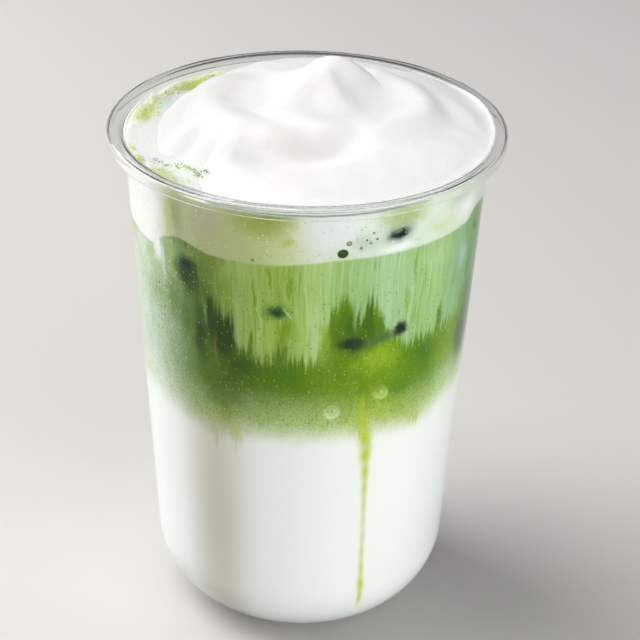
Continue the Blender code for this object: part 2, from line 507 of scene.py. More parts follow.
    def cover(self, wash: Wash) -> bpy.types.Node:
        """Tells how strongly a patch covers each place.

        Args:
            wash: The patch.

        Returns:
            The node that gives a share from zero to the patch's strength.
        """
        patch = self.graph.node("TexGradient", (self.places[wash.edge],), gradient_type="SPHERICAL")
        mapping = patch.texture_mapping
        mapping.vector_type = "TEXTURE"
        mapping.translation = (radians(wash.turn) * CHART_RADIUS_MM, wash.level, 0.0)
        mapping.rotation = (0.0, 0.0, radians(wash.tilt))
        mapping.scale = (wash.half_width, wash.half_height, 1.0)
        edges = {"Value": patch.outputs["Fac"], "From Max": wash.softness, "To Max": wash.strength}
        return self.graph.node("MapRange", edges, interpolation_type="SMOOTHSTEP")

    def washed(self, below: object, washes: tuple[Wash, ...]) -> bpy.types.Node:
        """Lays patches over a colour, from the first to the last."""
        return self.coated(below, *((linear(w.colour), self.cover(w), Coating.OVER) for w in washes))

    def strewn(self, below: object, groups: tuple[Specks, ...]) -> bpy.types.Node:
        """Strews groups of dots over a colour.

        Args:
            below: The colour so far.
            groups: The groups, from the first to the last.

        Returns:
            The node that gives the colour with the dots on it.
        """
        node = self.graph.node
        for dots in groups:
            cells = node("TexVoronoi", {"Vector": self.ground, "Scale": 1 / dots.spacing})
            luck = node("SeparateColor", {"Color": cells.outputs["Color"]})
            largest = dots.largest / dots.spacing
            sizes = {"Value": luck, "From Min": dots.empty, "From Max": 1.0, "To Max": largest}
            near = node("Math", (cells, node("MapRange", sizes)), operation="LESS_THAN")
            share = node("Math", (near, self.cover(dots.patch)), operation="MULTIPLY")
            below = self.coated(below, (linear(dots.patch.colour), share, Coating.OVER))
        return below


@dataclass(frozen=True)
class ThermoformedPet:
    """Clear PET sheet, drawn hot into a mould: hard, glassy and colourless, with sharp highlights."""

    ior: float = 1.53
    roughness: float = 0.02
    tint: str = "#FBFDFC"
    mirror: str = "#A4A4A4"

    def material(self) -> bpy.types.Material:
        """Builds the material; its shadow is clear, as thin sheet takes almost no light away.

        Returns:
            The material.
        """
        graph = Graph(bpy.data.materials.new("thermoformed_pet"))
        tint = linear(self.tint)
        sheet = {
            "Base Color": tint, "Roughness": self.roughness, "IOR": self.ior, "Transmission Weight": 1.0,
            "Specular Tint": linear(self.mirror),
        }
        plastic = graph.node("BsdfPrincipled", sheet)
        clear = graph.node("BsdfTransparent", {"Color": tint})
        shadow = graph.node("LightPath").outputs["Is Shadow Ray"]
        return graph.finish(graph.node("MixShader", (shadow, plastic, clear)))


@dataclass(frozen=True)
class CondensedWater:
    """Drops of condensed water: clear, with a small bright glint each."""

    ior: float = 1.333
    roughness: float = 0.0

    def material(self) -> bpy.types.Material:
        """Builds the material.

        Returns:
            The material.
        """
        graph = Graph(bpy.data.materials.new("condensed_water"))
        water = {"Roughness": self.roughness, "IOR": self.ior, "Transmission Weight": 1.0}
        drop = graph.node("BsdfPrincipled", {"Base Color": linear("#FFFFFF"), **water})
        clear = graph.node("BsdfTransparent")
        shadow = graph.node("LightPath").outputs["Is Shadow Ray"]
        return graph.finish(graph.node("MixShader", (shadow, drop, clear)))


# Turn and height in millimetres of the lines where one layer meets the next
MILK_TOP_MM = (
    (-180, 70.5), (-110, 69.0), (-60, 70.5), (-45, 69.5), (-30, 68.5), (-16, 70.0), (8, 70.0), (30, 70.2),
    (41, 68.6), (56, 71.0), (75, 72.0), (130, 69.5), (180, 70.5),
)
FROTH_FOOT_MM = (
    (-180, 115.5), (-110, 111.5), (-78, 109.8), (-58, 109.2), (-50, 113.0), (-42, 114.6), (-30, 113.1),
    (-10, 113.4), (0, 114.2), (12, 115.0), (60, 114.9), (68, 117.2), (78, 116.4), (120, 115.0), (180, 115.5),
)
MILK_TOP_MIDDLE = 0.0700
FROTH_FOOT_MIDDLE = 0.1150
# Where haze, deep tea, veil and froth start and are full, in millimetres above their lines
HAZE_RISE_MM = (-7.0, 2.0)
DEPTH_RISE_MM = (-1.0, 12.0)
VEIL_RISE_MM = (-1.5, 2.5)
FROTH_RISE_MM = (-0.35, 0.35)
# A layer that stays below these levels shows no veil, or no froth
VEIL_FROM_MM = 80.0
FROTH_FROM_MM = 100.0
# The lower edge of the milky veil that hangs under the froth
VEIL_ENDS_MM = (
    (-180, 98), (-150, 91), (-125, 99), (-100, 93), (-75, 104), (-56, 115), (-42, 113), (-34, 105), (-27, 98),
    (-21, 89), (-5, 88), (4, 88), (8, 99), (14, 104), (18, 99), (22, 102), (27, 95.5), (38, 89.5), (47, 90),
    (57, 90), (68, 96), (90, 92), (120, 99), (150, 92), (180, 98),
)


class TeaColours:
    """Colours by turn: where tea meets milk, in the tea's depth, in its milky veil and in the froth."""

    # In haze and depth, the pale mint from about -100 to -45 degrees is partly milky tea and partly painted
    # reflection of the window light on the wall
    haze = (
        (-180, "#B7C98C"), (-100, "#C4D2B4"), (-62, "#E0E5E1"), (-42, "#B9C6A4"), (-28, "#98A958"),
        (-14, "#B6C88E"), (4, "#BACD8C"), (28, "#B2C65C"), (60, "#CADBB0"), (180, "#B7C98C"),
    )
    depth = (
        (-180, "#5C8A00"), (-120, "#7CA22C"), (-90, "#C2D3B4"), (-66, "#D4DED8"), (-56, "#C0D0BE"),
        (-48, "#A2B89A"), (-41, "#769854"), (-34, "#587C14"), (-24, "#4C7000"), (-8, "#608800"),
        (12, "#749A00"), (28, "#80A600"), (44, "#648F00"), (58, "#84A800"), (68, "#388000"),
        (76, "#206600"), (110, "#4C8400"), (180, "#5C8A00"),
    )
    veil = (
        (-180, "#A0C07A"), (-60, "#A8C090"), (-38, "#58720C"), (-27, "#7C9838"), (-18, "#99B458"),
        (-6, "#98B84E"), (4, "#ACCA7C"), (14, "#99BA6C"), (28, "#A6C58C"), (48, "#A0C178"), (60, "#8CB680"),
        (66, "#5FA040"), (76, "#2C7A00"), (120, "#8FB468"), (180, "#A0C07A"),
    )
    froth = (
        (-180, "#ECEFE6"), (-135, "#D9E3B8"), (-95, "#EEF0EC"), (-54, "#F0F0F0"), (-46, "#C6CCAA"),
        (-34, "#B6BA8E"), (-16, "#C0C88E"), (-6, "#CFD9AA"), (4, "#E0E6DC"), (30, "#DCE5DB"), (52, "#DBE4D4"),
        (68, "#D3DAD2"), (105, "#DCE5C8"), (180, "#ECEFE6"),
    )
    # What the shades multiply the colour below by
    thread = (1.32, 1.20, 1.75, 1.0)
    gap = (0.70, 0.77, 0.35, 1.0)
    cloud = (0.62, 0.74, 0.30, 1.0)
    speck = (0.70, 0.78, 0.50, 1.0)
    wet_froth = (0.86, 0.89, 0.76, 1.0)


# Height, turn, half width in millimetres and strength along the green streak that sinks through the milk
STREAK = (
    (75, 20.6, 1.3, 0.55), (70, 21.0, 1.6, 0.85), (65, 22.2, 2.8, 1.0), (60, 22.8, 2.6, 0.95),
    (55, 23.2, 1.9, 0.9), (50, 23.4, 1.5, 0.8), (45, 23.6, 1.2, 0.65), (40, 23.8, 1.2, 0.6),
    (35, 24.0, 1.2, 0.6), (30, 24.1, 1.2, 0.65), (25, 24.3, 1.4, 0.75), (20, 24.5, 1.7, 0.9),
    (15.5, 24.6, 1.3, 0.8),
)
STREAK_COLOUR = "#BEC822"
STREAK_HALF_HEIGHT = 5.0

# Painted shade on the milk: a greyer band round -32 degrees, where it lies between the window and the fill
# light
PAINTED_MILK_SHADE = brushed(
    Edge.CLEAN,
    (-32, 40, 14, 90, "#D2CEC2", 1.0, 1.0),
)
# Broad changes of colour in the tea
TEA_SHADES = brushed(
    Edge.GRAINY,
    (-36, 91, 3.2, 13, "#204A00", 0.95),
    (-41, 95, 3.6, 10, "#52781E", 0.7),
    (-27.5, 93.5, 5.0, 9.5, "#274800", 1.0, 0.65),
    (-20, 85.5, 7, 4.5, "#365C00", 0.8),
    (-6, 84.5, 7, 4, "#4C7600", 0.5),
    (17, 95, 8.0, 9, "#4A7000", 0.95, 0.7),
    (4.5, 92, 5.0, 8, "#A2BF4C", 0.85),
    (25, 87, 8.5, 5.5, "#A2C028", 0.85),
    (12, 84.5, 3.0, 5.0, "#5E8600", 0.5),
    (20.5, 79, 2.6, 8, "#668E00", 0.5),
    (34, 78, 8, 5.5, "#648E00", 0.85),
    (44, 85, 5.5, 5.0, "#4C7C00", 0.85),
    (56, 80, 6.5, 4.5, "#92B200", 0.6),
    (60, 92, 5.5, 4.5, "#90B218", 0.8),
    (69, 82, 6.0, 10, "#0C6000", 1.0, 0.8),
    (-29.8, 87.5, 1.1, 9, "#77841C", 0.65, 1.0, 3),
    (-58, 106.0, 4.5, 3.5, "#B1C678", 0.8),
    (-56, 96.5, 8, 6.5, "#8CAA60", 0.6),
    (-46.5, 97, 4.2, 9, "#688E34", 0.8),
    (-38, 105, 5.0, 7, "#3A5C00", 0.95, 0.8),
)
# Yellow-green tea brushed down into the milk
DRIFTS = brushed(
    Edge.HAIRY,
    (-31, 66, 3.6, 6, "#B4B97C", 0.6),
    (-23, 65.5, 2.4, 7, "#BCC26A", 0.65),
    (42, 67.5, 3.5, 3.5, "#B0C240", 0.7),
    (24.2, 62.5, 1.5, 6.0, "#C6CE20", 0.5),
    (20, 69, 4.5, 3.0, "#B0C228", 0.55),
)
# Tongues of tea that lick up into the veil
FLAMES = brushed(
    Edge.HAIRY,
    (-31.4, 97, 1.6, 7.5, "#284800", 1.0, 0.7),
    (-24.8, 93.5, 2.2, 6.5, "#274600", 1.0, 0.7),
    (-17.2, 90.5, 1.0, 5.0, "#4C7200", 0.9, 0.8),
    (-7.4, 89.5, 2.2, 4.5, "#4E7A00", 0.95, 0.8),
    (-6.0, 96, 3.6, 6.5, "#7CA006", 0.9, 0.9),
    (6.6, 94, 1.8, 5.5, "#8CAE20", 0.85, 0.8),
    (9.2, 98.5, 1.2, 5.0, "#658A00", 0.85, 0.8),
    (12.6, 99, 1.6, 8.5, "#587E00", 1.0, 0.7),
    (17.9, 98.5, 0.9, 5.0, "#557C00", 0.9, 0.8),
    (21.2, 99, 1.6, 7.5, "#4A7000", 1.0, 0.7),
    (24.6, 95, 1.6, 4.0, "#587E00", 0.9, 0.8),
    (34, 102, 1.4, 6.5, "#86AC30", 0.75, 1.0),
    (38.5, 97, 1.2, 5.5, "#8CB038", 0.75, 1.0),
    (50.4, 93, 1.3, 6.0, "#568600", 1.0, 0.8),
    (67.5, 102, 2.4, 4.5, "#3F8400", 0.9, 1.0),
    (-38, 112, 5.0, 3.4, "#869E54", 0.8, 1.0),
    (-21, 111.5, 6.5, 5.0, "#ACC278", 0.6, 1.0),
    (22, 111, 12, 4.5, "#B0CE9C", 0.45, 1.0),
    (46, 110.5, 6.5, 5.0, "#BCD4A2", 0.7, 1.0),
    (-16, 104, 0.7, 10, "#7A961C", 0.8, 1.0, 5),
    (-10.2, 110, 0.6, 4.5, "#628608", 0.9, 1.0, 8),
    (-4.6, 108, 0.6, 6.5, "#769A1C", 0.8, 1.0, 16),
    (-1.8, 110, 0.5, 5.0, "#82A430", 0.7, 1.0),
    (37, 110.5, 0.7, 5.0, "#7CA630", 0.8, 1.0),
    (21.8, 112.5, 0.6, 3.5, "#84AA40", 0.7, 1.0),
    (57.5, 103, 1.2, 8.0, "#7FAE60", 0.7, 1.0),
)
# Milky threads that hang from the veil
THREADS = (
    Wash(-33.2, 99, 0.7, 10, "#7C9A58", 0.7, 1.0, 9, edge=Edge.HAIRY),
    Wash(-28.5, 104, 0.8, 8, "#8AA458", 0.6, 1.0, edge=Edge.HAIRY),
    Wash(-21.3, 99, 1.3, 13, "#A8BE7A", 0.9, 1.0, edge=Edge.HAIRY),
    Wash(-14.3, 97, 0.9, 12, "#B2CC84", 0.85, 1.0, 3, edge=Edge.HAIRY),
    Wash(-11, 94.5, 1.9, 8.5, "#AAC458", 0.85, 1.0, edge=Edge.HAIRY),
    Wash(-4.4, 90, 0.7, 5.0, "#93B562", 0.6, 1.0, edge=Edge.HAIRY),
    Wash(-0.6, 95, 1.4, 9.0, "#B2CC70", 0.85, 1.0, edge=Edge.HAIRY),
    Wash(2.9, 97, 1.8, 12, "#BAD494", 1.0, 0.9, 5, edge=Edge.HAIRY),
    Wash(14.2, 110, 0.8, 7.0, "#B2CE9C", 0.8, 1.0, edge=Edge.HAIRY),
    Wash(16.6, 104, 1.3, 8.5, "#A5C588", 0.95, 0.9, edge=Edge.HAIRY),
    Wash(19.4, 105.5, 0.9, 6.5, "#A2C284", 0.8, 1.0, edge=Edge.HAIRY),
    Wash(29.2, 103, 1.5, 8.0, "#A9C892", 0.75, 1.0, 6, edge=Edge.HAIRY),
    Wash(27.0, 95.8, 0.8, 2.6, "#BBD4A8", 0.8, 1.0, 30, edge=Edge.WAVY),
    Wash(45.6, 104, 1.0, 12, "#B2CC90", 0.75, 1.0, edge=Edge.HAIRY),
    Wash(48.0, 94, 0.8, 5.0, "#A3C378", 0.7, 1.0, edge=Edge.HAIRY),
    Wash(53.6, 97, 1.9, 8, "#A2C488", 0.7, 1.0, edge=Edge.HAIRY),
    Wash(61, 106.5, 3.6, 5.5, "#AECBC6", 0.8, 1.0, 12, edge=Edge.WAVY),
    Wash(-46.6, 109, 1.9, 9, "#B0C05C", 0.85, 1.0, edge=Edge.HAIRY),
    Wash(-51.0, 107, 1.2, 6.5, "#DAE2CC", 0.9, 1.0, edge=Edge.HAIRY),
    Wash(-54.0, 108.5, 2.2, 5.6, "#F0F2F0", 1.0, 0.7, edge=Edge.HAIRY),
)
# Ice, deep in the tea
ICE = (
    Wash(-40.5, 106.6, 5.2, 4.8, "#1E4800", 1.0, 0.9),
    Wash(-39.8, 109.0, 3.0, 2.8, "#0E240C", 1.0, 0.9),
    Wash(-8.6, 101.3, 4.4, 3.4, "#64903C", 0.95, 0.8),
    Wash(-8.2, 101.4, 2.9, 2.3, "#234A26", 1.0, 0.9, -25),
    Wash(15.6, 92.4, 4.4, 2.5, "#1C3C18", 1.0, 0.75, -10),
    Wash(26.0, 92.4, 6.0, 2.0, "#4E7040", 0.95, 0.9, 10),
    Wash(32.8, 94.0, 3.3, 2.4, "#0C2404", 1.0, 0.8, 32),
    Wash(-5.0, 101.0, 0.45, 2.8, "#BBD6A0", 0.9, 1.0, 33, Edge.CLEAN),
    Wash(70, 114, 4.0, 3.2, "#3C7420", 0.8),
    Wash(70, 111.5, 2.8, 1.4, "#3C3028", 0.9, 1.0, -25),
)
# Light that the two large drops outside gather on the tea behind them
DROP_LIGHT = brushed(
    Edge.CLEAN,
    (10, 73.8, 2.5, 2.3, "#D8E4B8", 0.55, 0.5),
    (10, 74.2, 1.9, 1.6, "#90B04C", 0.6, 0.6),
    (27, 77.3, 2.5, 2.1, "#C6D880", 0.5, 0.5),
    (27, 77.8, 1.9, 1.5, "#7CA01C", 0.6, 0.6),
)
# Bubbles and grains of powder in the tea; the pale dots on the left are small bubbles with their glints
# painted on
TEA_SPECKS = (
    Specks(0.9, 0.32, 0.40, Wash(-55, 95, 11, 14, "#5C7C38", 0.8)),
    Specks(0.7, 0.24, 0.50, Wash(-55, 96, 11, 14, "#DDE9CC", 0.9)),
    Specks(0.8, 0.24, 0.60, Wash(-46, 108, 5, 12, "#E4EECC", 0.9)),
    Specks(1.1, 0.26, 0.65, Wash(20, 95, 10, 7, "#C0D060", 0.9)),
    Specks(1.2, 0.24, 0.65, Wash(22, 84, 15, 14, "#BCCF50", 0.6)),
    Specks(0.9, 0.27, 0.35, Wash(0, 88, 90, 34, "#3E5C18", 0.45, 0.5)),
    Specks(0.75, 0.21, 0.45, Wash(-6, 90, 90, 34, "#D2E096", 0.5, 0.5)),
)
# Powder that trails beside the streak
STREAK_SPECKS = (
    Specks(0.7, 0.3, 0.4, Wash(22, 66, 2.4, 10, "#98AC10", 0.5)),
)
# Clouds of milk in the tea, and the fine grain of the powder
CLOUDS = Mottle(3.5, 6.0, 4.0, 0.42, 0.70, 0.35)
POWDER = Mottle(0.5, 0.6, 2.0, 0.46, 0.62, 0.75)
# The veil's threads, coarse and fine, and the gaps between them
VEIL_THREADS = (
    (Mottle(0.95, 40.0, 1.0, 0.42, 0.66, 0.45, bend=0.3), TeaColours.thread),
    (Mottle(0.34, 26.0, 1.0, 0.42, 0.66, 0.45, bend=0.3), TeaColours.thread),
    (Mottle(0.62, 32.0, 1.0, 0.50, 0.72, 0.5, bend=0.3), TeaColours.gap),
)

# Wet and dry places of the froth against the wall
FROTH_WASHES = (
    Wash(-43.5, 121, 4.2, 11, "#A0A672", 0.95),
    Wash(-46.5, 117, 2.6, 9, "#C2CA96", 0.8, edge=Edge.WAVY),
    Wash(-52, 125, 3.5, 4, "#D6D6D4", 0.7),
    Wash(-31, 123, 6.5, 6.5, "#B8B49C", 0.9),
    Wash(-14, 124.5, 10.5, 6.5, "#A6AE58", 0.95, 0.85),
    Wash(-9, 126.5, 6, 4.5, "#9AA444", 0.8),
    Wash(-5, 119.5, 2.6, 2.2, "#B8C244", 0.75),
    Wash(8, 122.5, 9.5, 7.5, "#E6E8E8", 1.0, 0.8),
    Wash(31, 124.5, 9.0, 5.5, "#B2C286", 1.0, 0.85),
    Wash(46, 118.5, 9.0, 3.0, "#D2DFB8", 0.85),
    Wash(56, 123.5, 7.0, 3.5, "#C0C5BC", 0.9),
    Wash(60, 119, 6.5, 4.5, "#EEF1F0", 1.0),
    Wash(18.5, 119, 6.0, 3.0, "#C2CEBA", 0.85),
    Wash(29.5, 116.3, 6.4, 1.8, "#F0F6F4", 1.0, 0.8),
    Wash(12, 114.9, 6.0, 1.2, "#D4E2BC", 0.7),
)
# The ice cube that touches the froth, dark in its middle
FROTH_ICE = brushed(
    Edge.WAVY,
    (29.4, 120.0, 5.6, 3.6, "#8A9E8E", 0.9, 0.9),
    (29.3, 119.9, 3.7, 2.0, "#24352A", 1.0, 0.6),
    (30.2, 119.5, 2.4, 1.2, "#060C06", 1.0, 0.8, -15),
    (28.8, 120.7, 1.5, 0.7, "#7C9086", 0.8, 0.9),
)
# Larger bubbles against the wall
FROTH_BUBBLES = brushed(
    Edge.CLEAN,
    (11.4, 116.7, 1.35, 1.25, "#2E4600", 1.0, 0.2),
    (11.2, 117.0, 0.7, 0.5, "#4A6400", 0.8, 0.8),
    (13.2, 119.2, 0.75, 0.72, "#6A8238", 0.95, 0.3),
    (13.2, 119.3, 0.45, 0.4, "#B0C08C", 0.8, 0.6),
    (17, 117.7, 0.5, 0.48, "#708A40", 0.95, 0.4),
    (20, 118.7, 0.42, 0.4, "#708C4C", 0.95, 0.4),
    (22, 119.5, 0.32, 0.32, "#2C4A28", 0.95, 0.4),
    (18.7, 119.6, 0.34, 0.32, "#385832", 0.95, 0.4),
    (20.8, 121.2, 0.34, 0.32, "#425C3A", 0.9, 0.4),
    (-16, 114.2, 0.6, 0.55, "#7A9448", 0.95, 0.5),
)
# Pores of the froth against the wall
FROTH_SPECKS = (
    Specks(1.1, 0.22, 0.55, Wash(-20, 119, 20, 7, "#8C9A58", 0.8)),
    Specks(1.0, 0.20, 0.60, Wash(20, 119.5, 6, 3, "#5C7450", 0.9)),
    Specks(1.3, 0.20, 0.60, Wash(50, 119, 14, 5, "#A9BA84", 0.8)),
    Specks(0.8, 0.21, 0.35, Wash(-14, 119, 60, 12, "#94A266", 0.6, 0.5)),
    Specks(0.9, 0.22, 0.50, Wash(-14, 119, 60, 12, "#F4F7E4", 0.6, 0.5)),
)
# Lumps of wet and of dry froth, and the change of shade from bubble to bubble
WET_FROTH = Mottle(2.2, 2.2, 4.0, 0.42, 0.72, 0.3)
DRY_FROTH = Mottle(0.8, 0.8, 3.0, 0.5, 0.8, 0.5)
BUBBLE_SHADE = Mottle(1.6, 1.6, 2.0, 0.35, 0.65)

# Froth that stands up along the wall on the open side: turn, radius, half length and half depth in
# millimetres, rise in metres and colour
MOUNDS = (
    (-120, 44.0, 30.0, 3.2, 0.00110, "#F3F5EF"),
    (-52, 34.6, 9.0, 1.9, 0.00080, "#F0F3EC"),
    (-108, 41.6, 9.5, 3.4, 0.00060, "#DAE59C"),
    (-124, 42.2, 6.5, 2.2, 0.00050, "#E8EDCB"),
    (-137, 41.6, 9.0, 3.2, 0.00070, "#D6E292"),
    (-147, 42.5, 4.0, 1.8, 0.00080, "#DDE6A6"),
    (-78, 42.5, 2.2, 1.2, 0.00030, "#CDD9A4"),
    (-69, 41.8, 3.2, 1.2, 0.00030, "#BAC98E"),
    (-53, 40.6, 8.0, 2.8, 0.00060, "#C9D2A2"),
)
# Wet and dry places on the froth's top
TOP_WASHES = brushed(
    Edge.GRAINY,
    (-103, 40.2, 5.0, 1.9, "#B0C85A", 0.6),
    (-132, 40.2, 6.0, 2.0, "#A2BE44", 0.7),
    (-119, 43.9, 52.0, 3.0, "#F8FAF4", 1.0),
    (-118, 38.8, 6.0, 2.6, "#CDDED2", 0.8),
    (-68, 41.6, 1.8, 0.9, "#67803E", 0.9),
    (-56, 40.2, 3.5, 1.3, "#B4C66C", 0.5),
    (-53, 36.0, 9.0, 2.2, "#E0E8DC", 0.8),
)
# Where the cream lies in its own soft shade, or full in the light
CREAM_WASHES = brushed(
    Edge.CLEAN,
    (-90, 36.0, 52.0, 22.0, "#D6D6D6", 1.0),
    (-44, 31.0, 28.0, 15.0, "#DCDCDC", 0.8),
    (-10, 22.5, 24.0, 6.5, "#EAE6E2", 0.8),
    (-36, 23.0, 9.0, 5.0, "#E9E6E2", 0.3),
    (90, 34.0, 70.0, 20.0, "#FFFFFF", 1.0, 0.6),
    (150, 7.0, 12.0, 8.0, "#FFFFFF", 1.0),
)
# Painted glints, bright dots on the roll at the cream's front edge, and the cream's soft hollows
CREAM_PAINTED_GLINTS = (
    Specks(0.8, 0.22, 0.55, Wash(-24, 23.0, 9.0, 4.0, "#FFFFFF", 1.0)),
)
CREAM_SHADE = Mottle(7.0, 7.0, 2.0, 0.4, 0.7, 0.4)


@dataclass(frozen=True)
class WetDrink:
    """Cold milk and whisked tea, stirred as little as possible: opaque, wet and softly lit from within.

    Milk is white, the tea a saturated green that clouds where it meets the milk. Pressed against the wall it
    has no gloss of its own, because PET and water bend light almost alike.
    """

    name: str
    # The levels between which the layer shows at the wall
    lowest_mm: float
    highest_mm: float
    milk: str = "#EEF0EE"
    roughness: float = 0.45
    ior: float = 1.17
    subsurface: float = 0.12
    depth: tuple[float, float, float] = (1.0, 0.9, 0.7)
    depth_scale: float = 0.0012

    def washed(self, chart: Chart, colour: bpy.types.Node, washes: tuple[Wash, ...]) -> bpy.types.Node:
        """Lays those patches over a colour that reach this layer.

        Args:
            chart: The chart of the wall.
            colour: The colour so far.
            washes: The patches, from the first to the last.

        Returns:
            The node that gives the colour with the patches on it.
        """
        stray = 2 * Edge.WAVY.value[3]
        near = []
        for wash in washes:
            reach = max(wash.half_height, wash.half_width * abs(sin(radians(wash.tilt)))) + stray
            if wash.level - reach < self.highest_mm and wash.level + reach > self.lowest_mm:
                near.append(wash)
        return chart.washed(colour, tuple(near))

    def colour(self, chart: Chart) -> bpy.types.Node:
        """Draws milk, cloud, tea, veil and froth one over the other.

        Args:
            chart: The chart of the wall.

        Returns:
            The node that gives the colour.
        """
        node = chart.graph.node
        milk_top = chart.line(MILK_TOP_MM)
        cloudy = chart.above(milk_top, *HAZE_RISE_MM, Edge.GRAINY)
        deep = chart.above(milk_top, *DEPTH_RISE_MM, Edge.GRAINY)
        clouds = node("Math", (chart.mottled(CLOUDS), cloudy), operation="MULTIPLY")
        powder = node("Math", (chart.mottled(POWDER), cloudy), operation="MULTIPLY")
        colour = chart.coated(
            self.washed(chart, linear(self.milk), PAINTED_MILK_SHADE),
            (chart.colours_round(TeaColours.haze), cloudy, Coating.OVER),
            (chart.colours_round(TeaColours.depth), deep, Coating.OVER),
            (TeaColours.cloud, clouds, Coating.SHADE),
        )
        colour = self.washed(chart, colour, TEA_SHADES + DRIFTS)
        colour = chart.coated(colour, (TeaColours.speck, powder, Coating.SHADE))
        if self.highest_mm > VEIL_FROM_MM:
            colour = self.veil(chart, colour)
            colour = self.washed(chart, colour, FLAMES + THREADS + ICE + DROP_LIGHT)
            colour = chart.strewn(colour, TEA_SPECKS)
        streak = tuple(
            Wash(turn, height, wide, STREAK_HALF_HEIGHT, STREAK_COLOUR, strength, edge=Edge.CLEAN)
            for height, turn, wide, strength in STREAK
        )
        colour = chart.strewn(self.washed(chart, colour, streak), STREAK_SPECKS)
        return self.froth(chart, colour) if self.highest_mm > FROTH_FROM_MM else colour

    def veil(self, chart: Chart, colour: bpy.types.Node) -> bpy.types.Node:
        """Hangs a veil of fine threads of milk in the tea, under the froth.

        Args:
            chart: The chart of the wall.
            colour: The colour so far.

        Returns:
            The node that gives the colour with the veil.
        """
        shades = [(shade, chart.mottled(threads), Coating.SHADE) for threads, shade in VEIL_THREADS]
        veil = chart.coated(chart.colours_round(TeaColours.veil), *shades)
        hangs = chart.above(chart.line(VEIL_ENDS_MM), *VEIL_RISE_MM, Edge.HAIRY)
        return chart.coated(colour, (veil, hangs, Coating.OVER))

    def froth(self, chart: Chart, colour: bpy.types.Node) -> bpy.types.Node:
        """Lays the froth over the tea, with its green patches and its pores.

        Args:
            chart: The chart of the wall.
            colour: The colour so far.

        Returns:
            The node that gives the colour with the froth.
        """
        froth = chart.colours_round(TeaColours.froth)
        froth = self.washed(chart, froth, FROTH_WASHES + FROTH_ICE + FROTH_BUBBLES)
        froth = chart.coated(froth, (TeaColours.wet_froth, chart.mottled(WET_FROTH), Coating.SHADE))
        froth = chart.strewn(froth, FROTH_SPECKS)
        floats = chart.above(chart.line(FROTH_FOOT_MM), *FROTH_RISE_MM, Edge.CLEAN)
        return chart.coated(colour, (froth, floats, Coating.OVER))

    def material(self) -> bpy.types.Material:
        """Builds the material.

        Returns:
            The material.
        """
        graph = Graph(bpy.data.materials.new(self.name))
        chart = Chart(graph, Level.HEIGHT)
        liquid = {
            "Base Color": self.colour(chart), "Roughness": self.roughness, "IOR": self.ior,
            "Subsurface Weight": self.subsurface, "Subsurface Radius": self.depth,
            "Subsurface Scale": self.depth_scale,
        }
        return graph.finish(graph.node("BsdfPrincipled", liquid))


@dataclass(frozen=True)
class MilkFroth:
    """Milk froth with whisked tea in it: matt, closely porous, white where it is dry and green where wet."""

    colour: str = "#E3E7E5"
    dry: str = "#FAFBF2"
    roughness: float = 0.5
    ior: float = 1.34
    # Pores are drawn a little coarser than they are, so that they show
    pore_mm: float = 0.8
    pore_depth: float = 0.00012
    relief: float = 0.5
    subsurface: float = 0.15
    depth_scale: float = 0.0012
    # How far a mound's colour reaches past its form, along the wall and across, and how soft it ends
    spill: tuple[float, float, float] = (1.1, 1.15, 0.7)

    def material(self) -> bpy.types.Material:
        """Builds the material of the froth's top.

        Returns:
            The material.
        """
        graph = Graph(bpy.data.materials.new("milk_froth_with_tea"))
        chart = Chart(graph, Level.RADIUS)
        along, across, soft = self.spill
        mounds = tuple(
            Wash(turn, radius, length * along, depth * across, green, softness=soft)
            for turn, radius, length, depth, _, green in MOUNDS
        )
        colour = chart.washed(linear(self.colour), mounds + TOP_WASHES)
        colour = chart.coated(colour, (linear(self.dry), chart.mottled(DRY_FROTH), Coating.OVER))
        cells = graph.node("TexVoronoi", {"Vector": chart.ground, "Scale": 1 / self.pore_mm})
        bump = graph.node("Bump", {"Height": cells, "Strength": self.relief, "Distance": self.pore_depth})
        froth = {
            "Base Color": colour, "Roughness": self.roughness, "IOR": self.ior, "Normal": bump,
            "Subsurface Weight": self.subsurface, "Subsurface Scale": self.depth_scale,
        }
        return graph.finish(graph.node("BsdfPrincipled", froth))


@dataclass(frozen=True)
class WhippedCream:
    """Softly whipped cream, poured and swirled: warm white, satin, with fine pores and a glow within."""

    colour: str = "#F8F7F5"
    hollow: str = "#F1EFED"
    roughness: float = 0.42
    ior: float = 1.44
    lump_mm: float = 1.6
    lump_detail: float = 4.0
    lump_share: float = 1.4
    # Pores are drawn coarser than they are, so that they show; their wall is a share of their size
    pore_mm: float = 0.45
    pore_wall: float = 0.35
    pore_depth: float = 0.00007
    relief: float = 0.6
    subsurface: float = 0.3
    depth: tuple[float, float, float] = (1.0, 0.8, 0.6)
    depth_scale: float = 0.0022

    def material(self) -> bpy.types.Material:
        """Builds the material.

        Returns:
            The material.
        """
        graph = Graph(bpy.data.materials.new("whipped_cream"))
        chart = Chart(graph, Level.RADIUS)
        lumps = chart.noise(self.lump_mm, self.lump_mm, self.lump_detail)
        hollows = (linear(self.hollow), chart.mottled(CREAM_SHADE), Coating.OVER)
        colour = chart.washed(chart.coated(linear(self.colour), hollows), CREAM_WASHES)
        # The bright dots strewn on the roll are painted glints
        colour = chart.strewn(colour, CREAM_PAINTED_GLINTS)
        cells = graph.node("TexVoronoi", {"Vector": chart.ground, "Scale": 1 / self.pore_mm})
        edges = {"Value": cells, "From Max": self.pore_wall}
        pores = graph.node("MapRange", edges, interpolation_type="SMOOTHSTEP")
        relief = graph.node("Math", (lumps, self.lump_share, pores), operation="MULTIPLY_ADD")
        bump = graph.node("Bump", {"Height": relief, "Strength": self.relief, "Distance": self.pore_depth})
        cream = {
            "Base Color": colour, "Roughness": self.roughness, "IOR": self.ior, "Normal": bump,
            "Subsurface Weight": self.subsurface, "Subsurface Radius": self.depth,
            "Subsurface Scale": self.depth_scale,
        }
        return graph.finish(graph.node("BsdfPrincipled", cream))


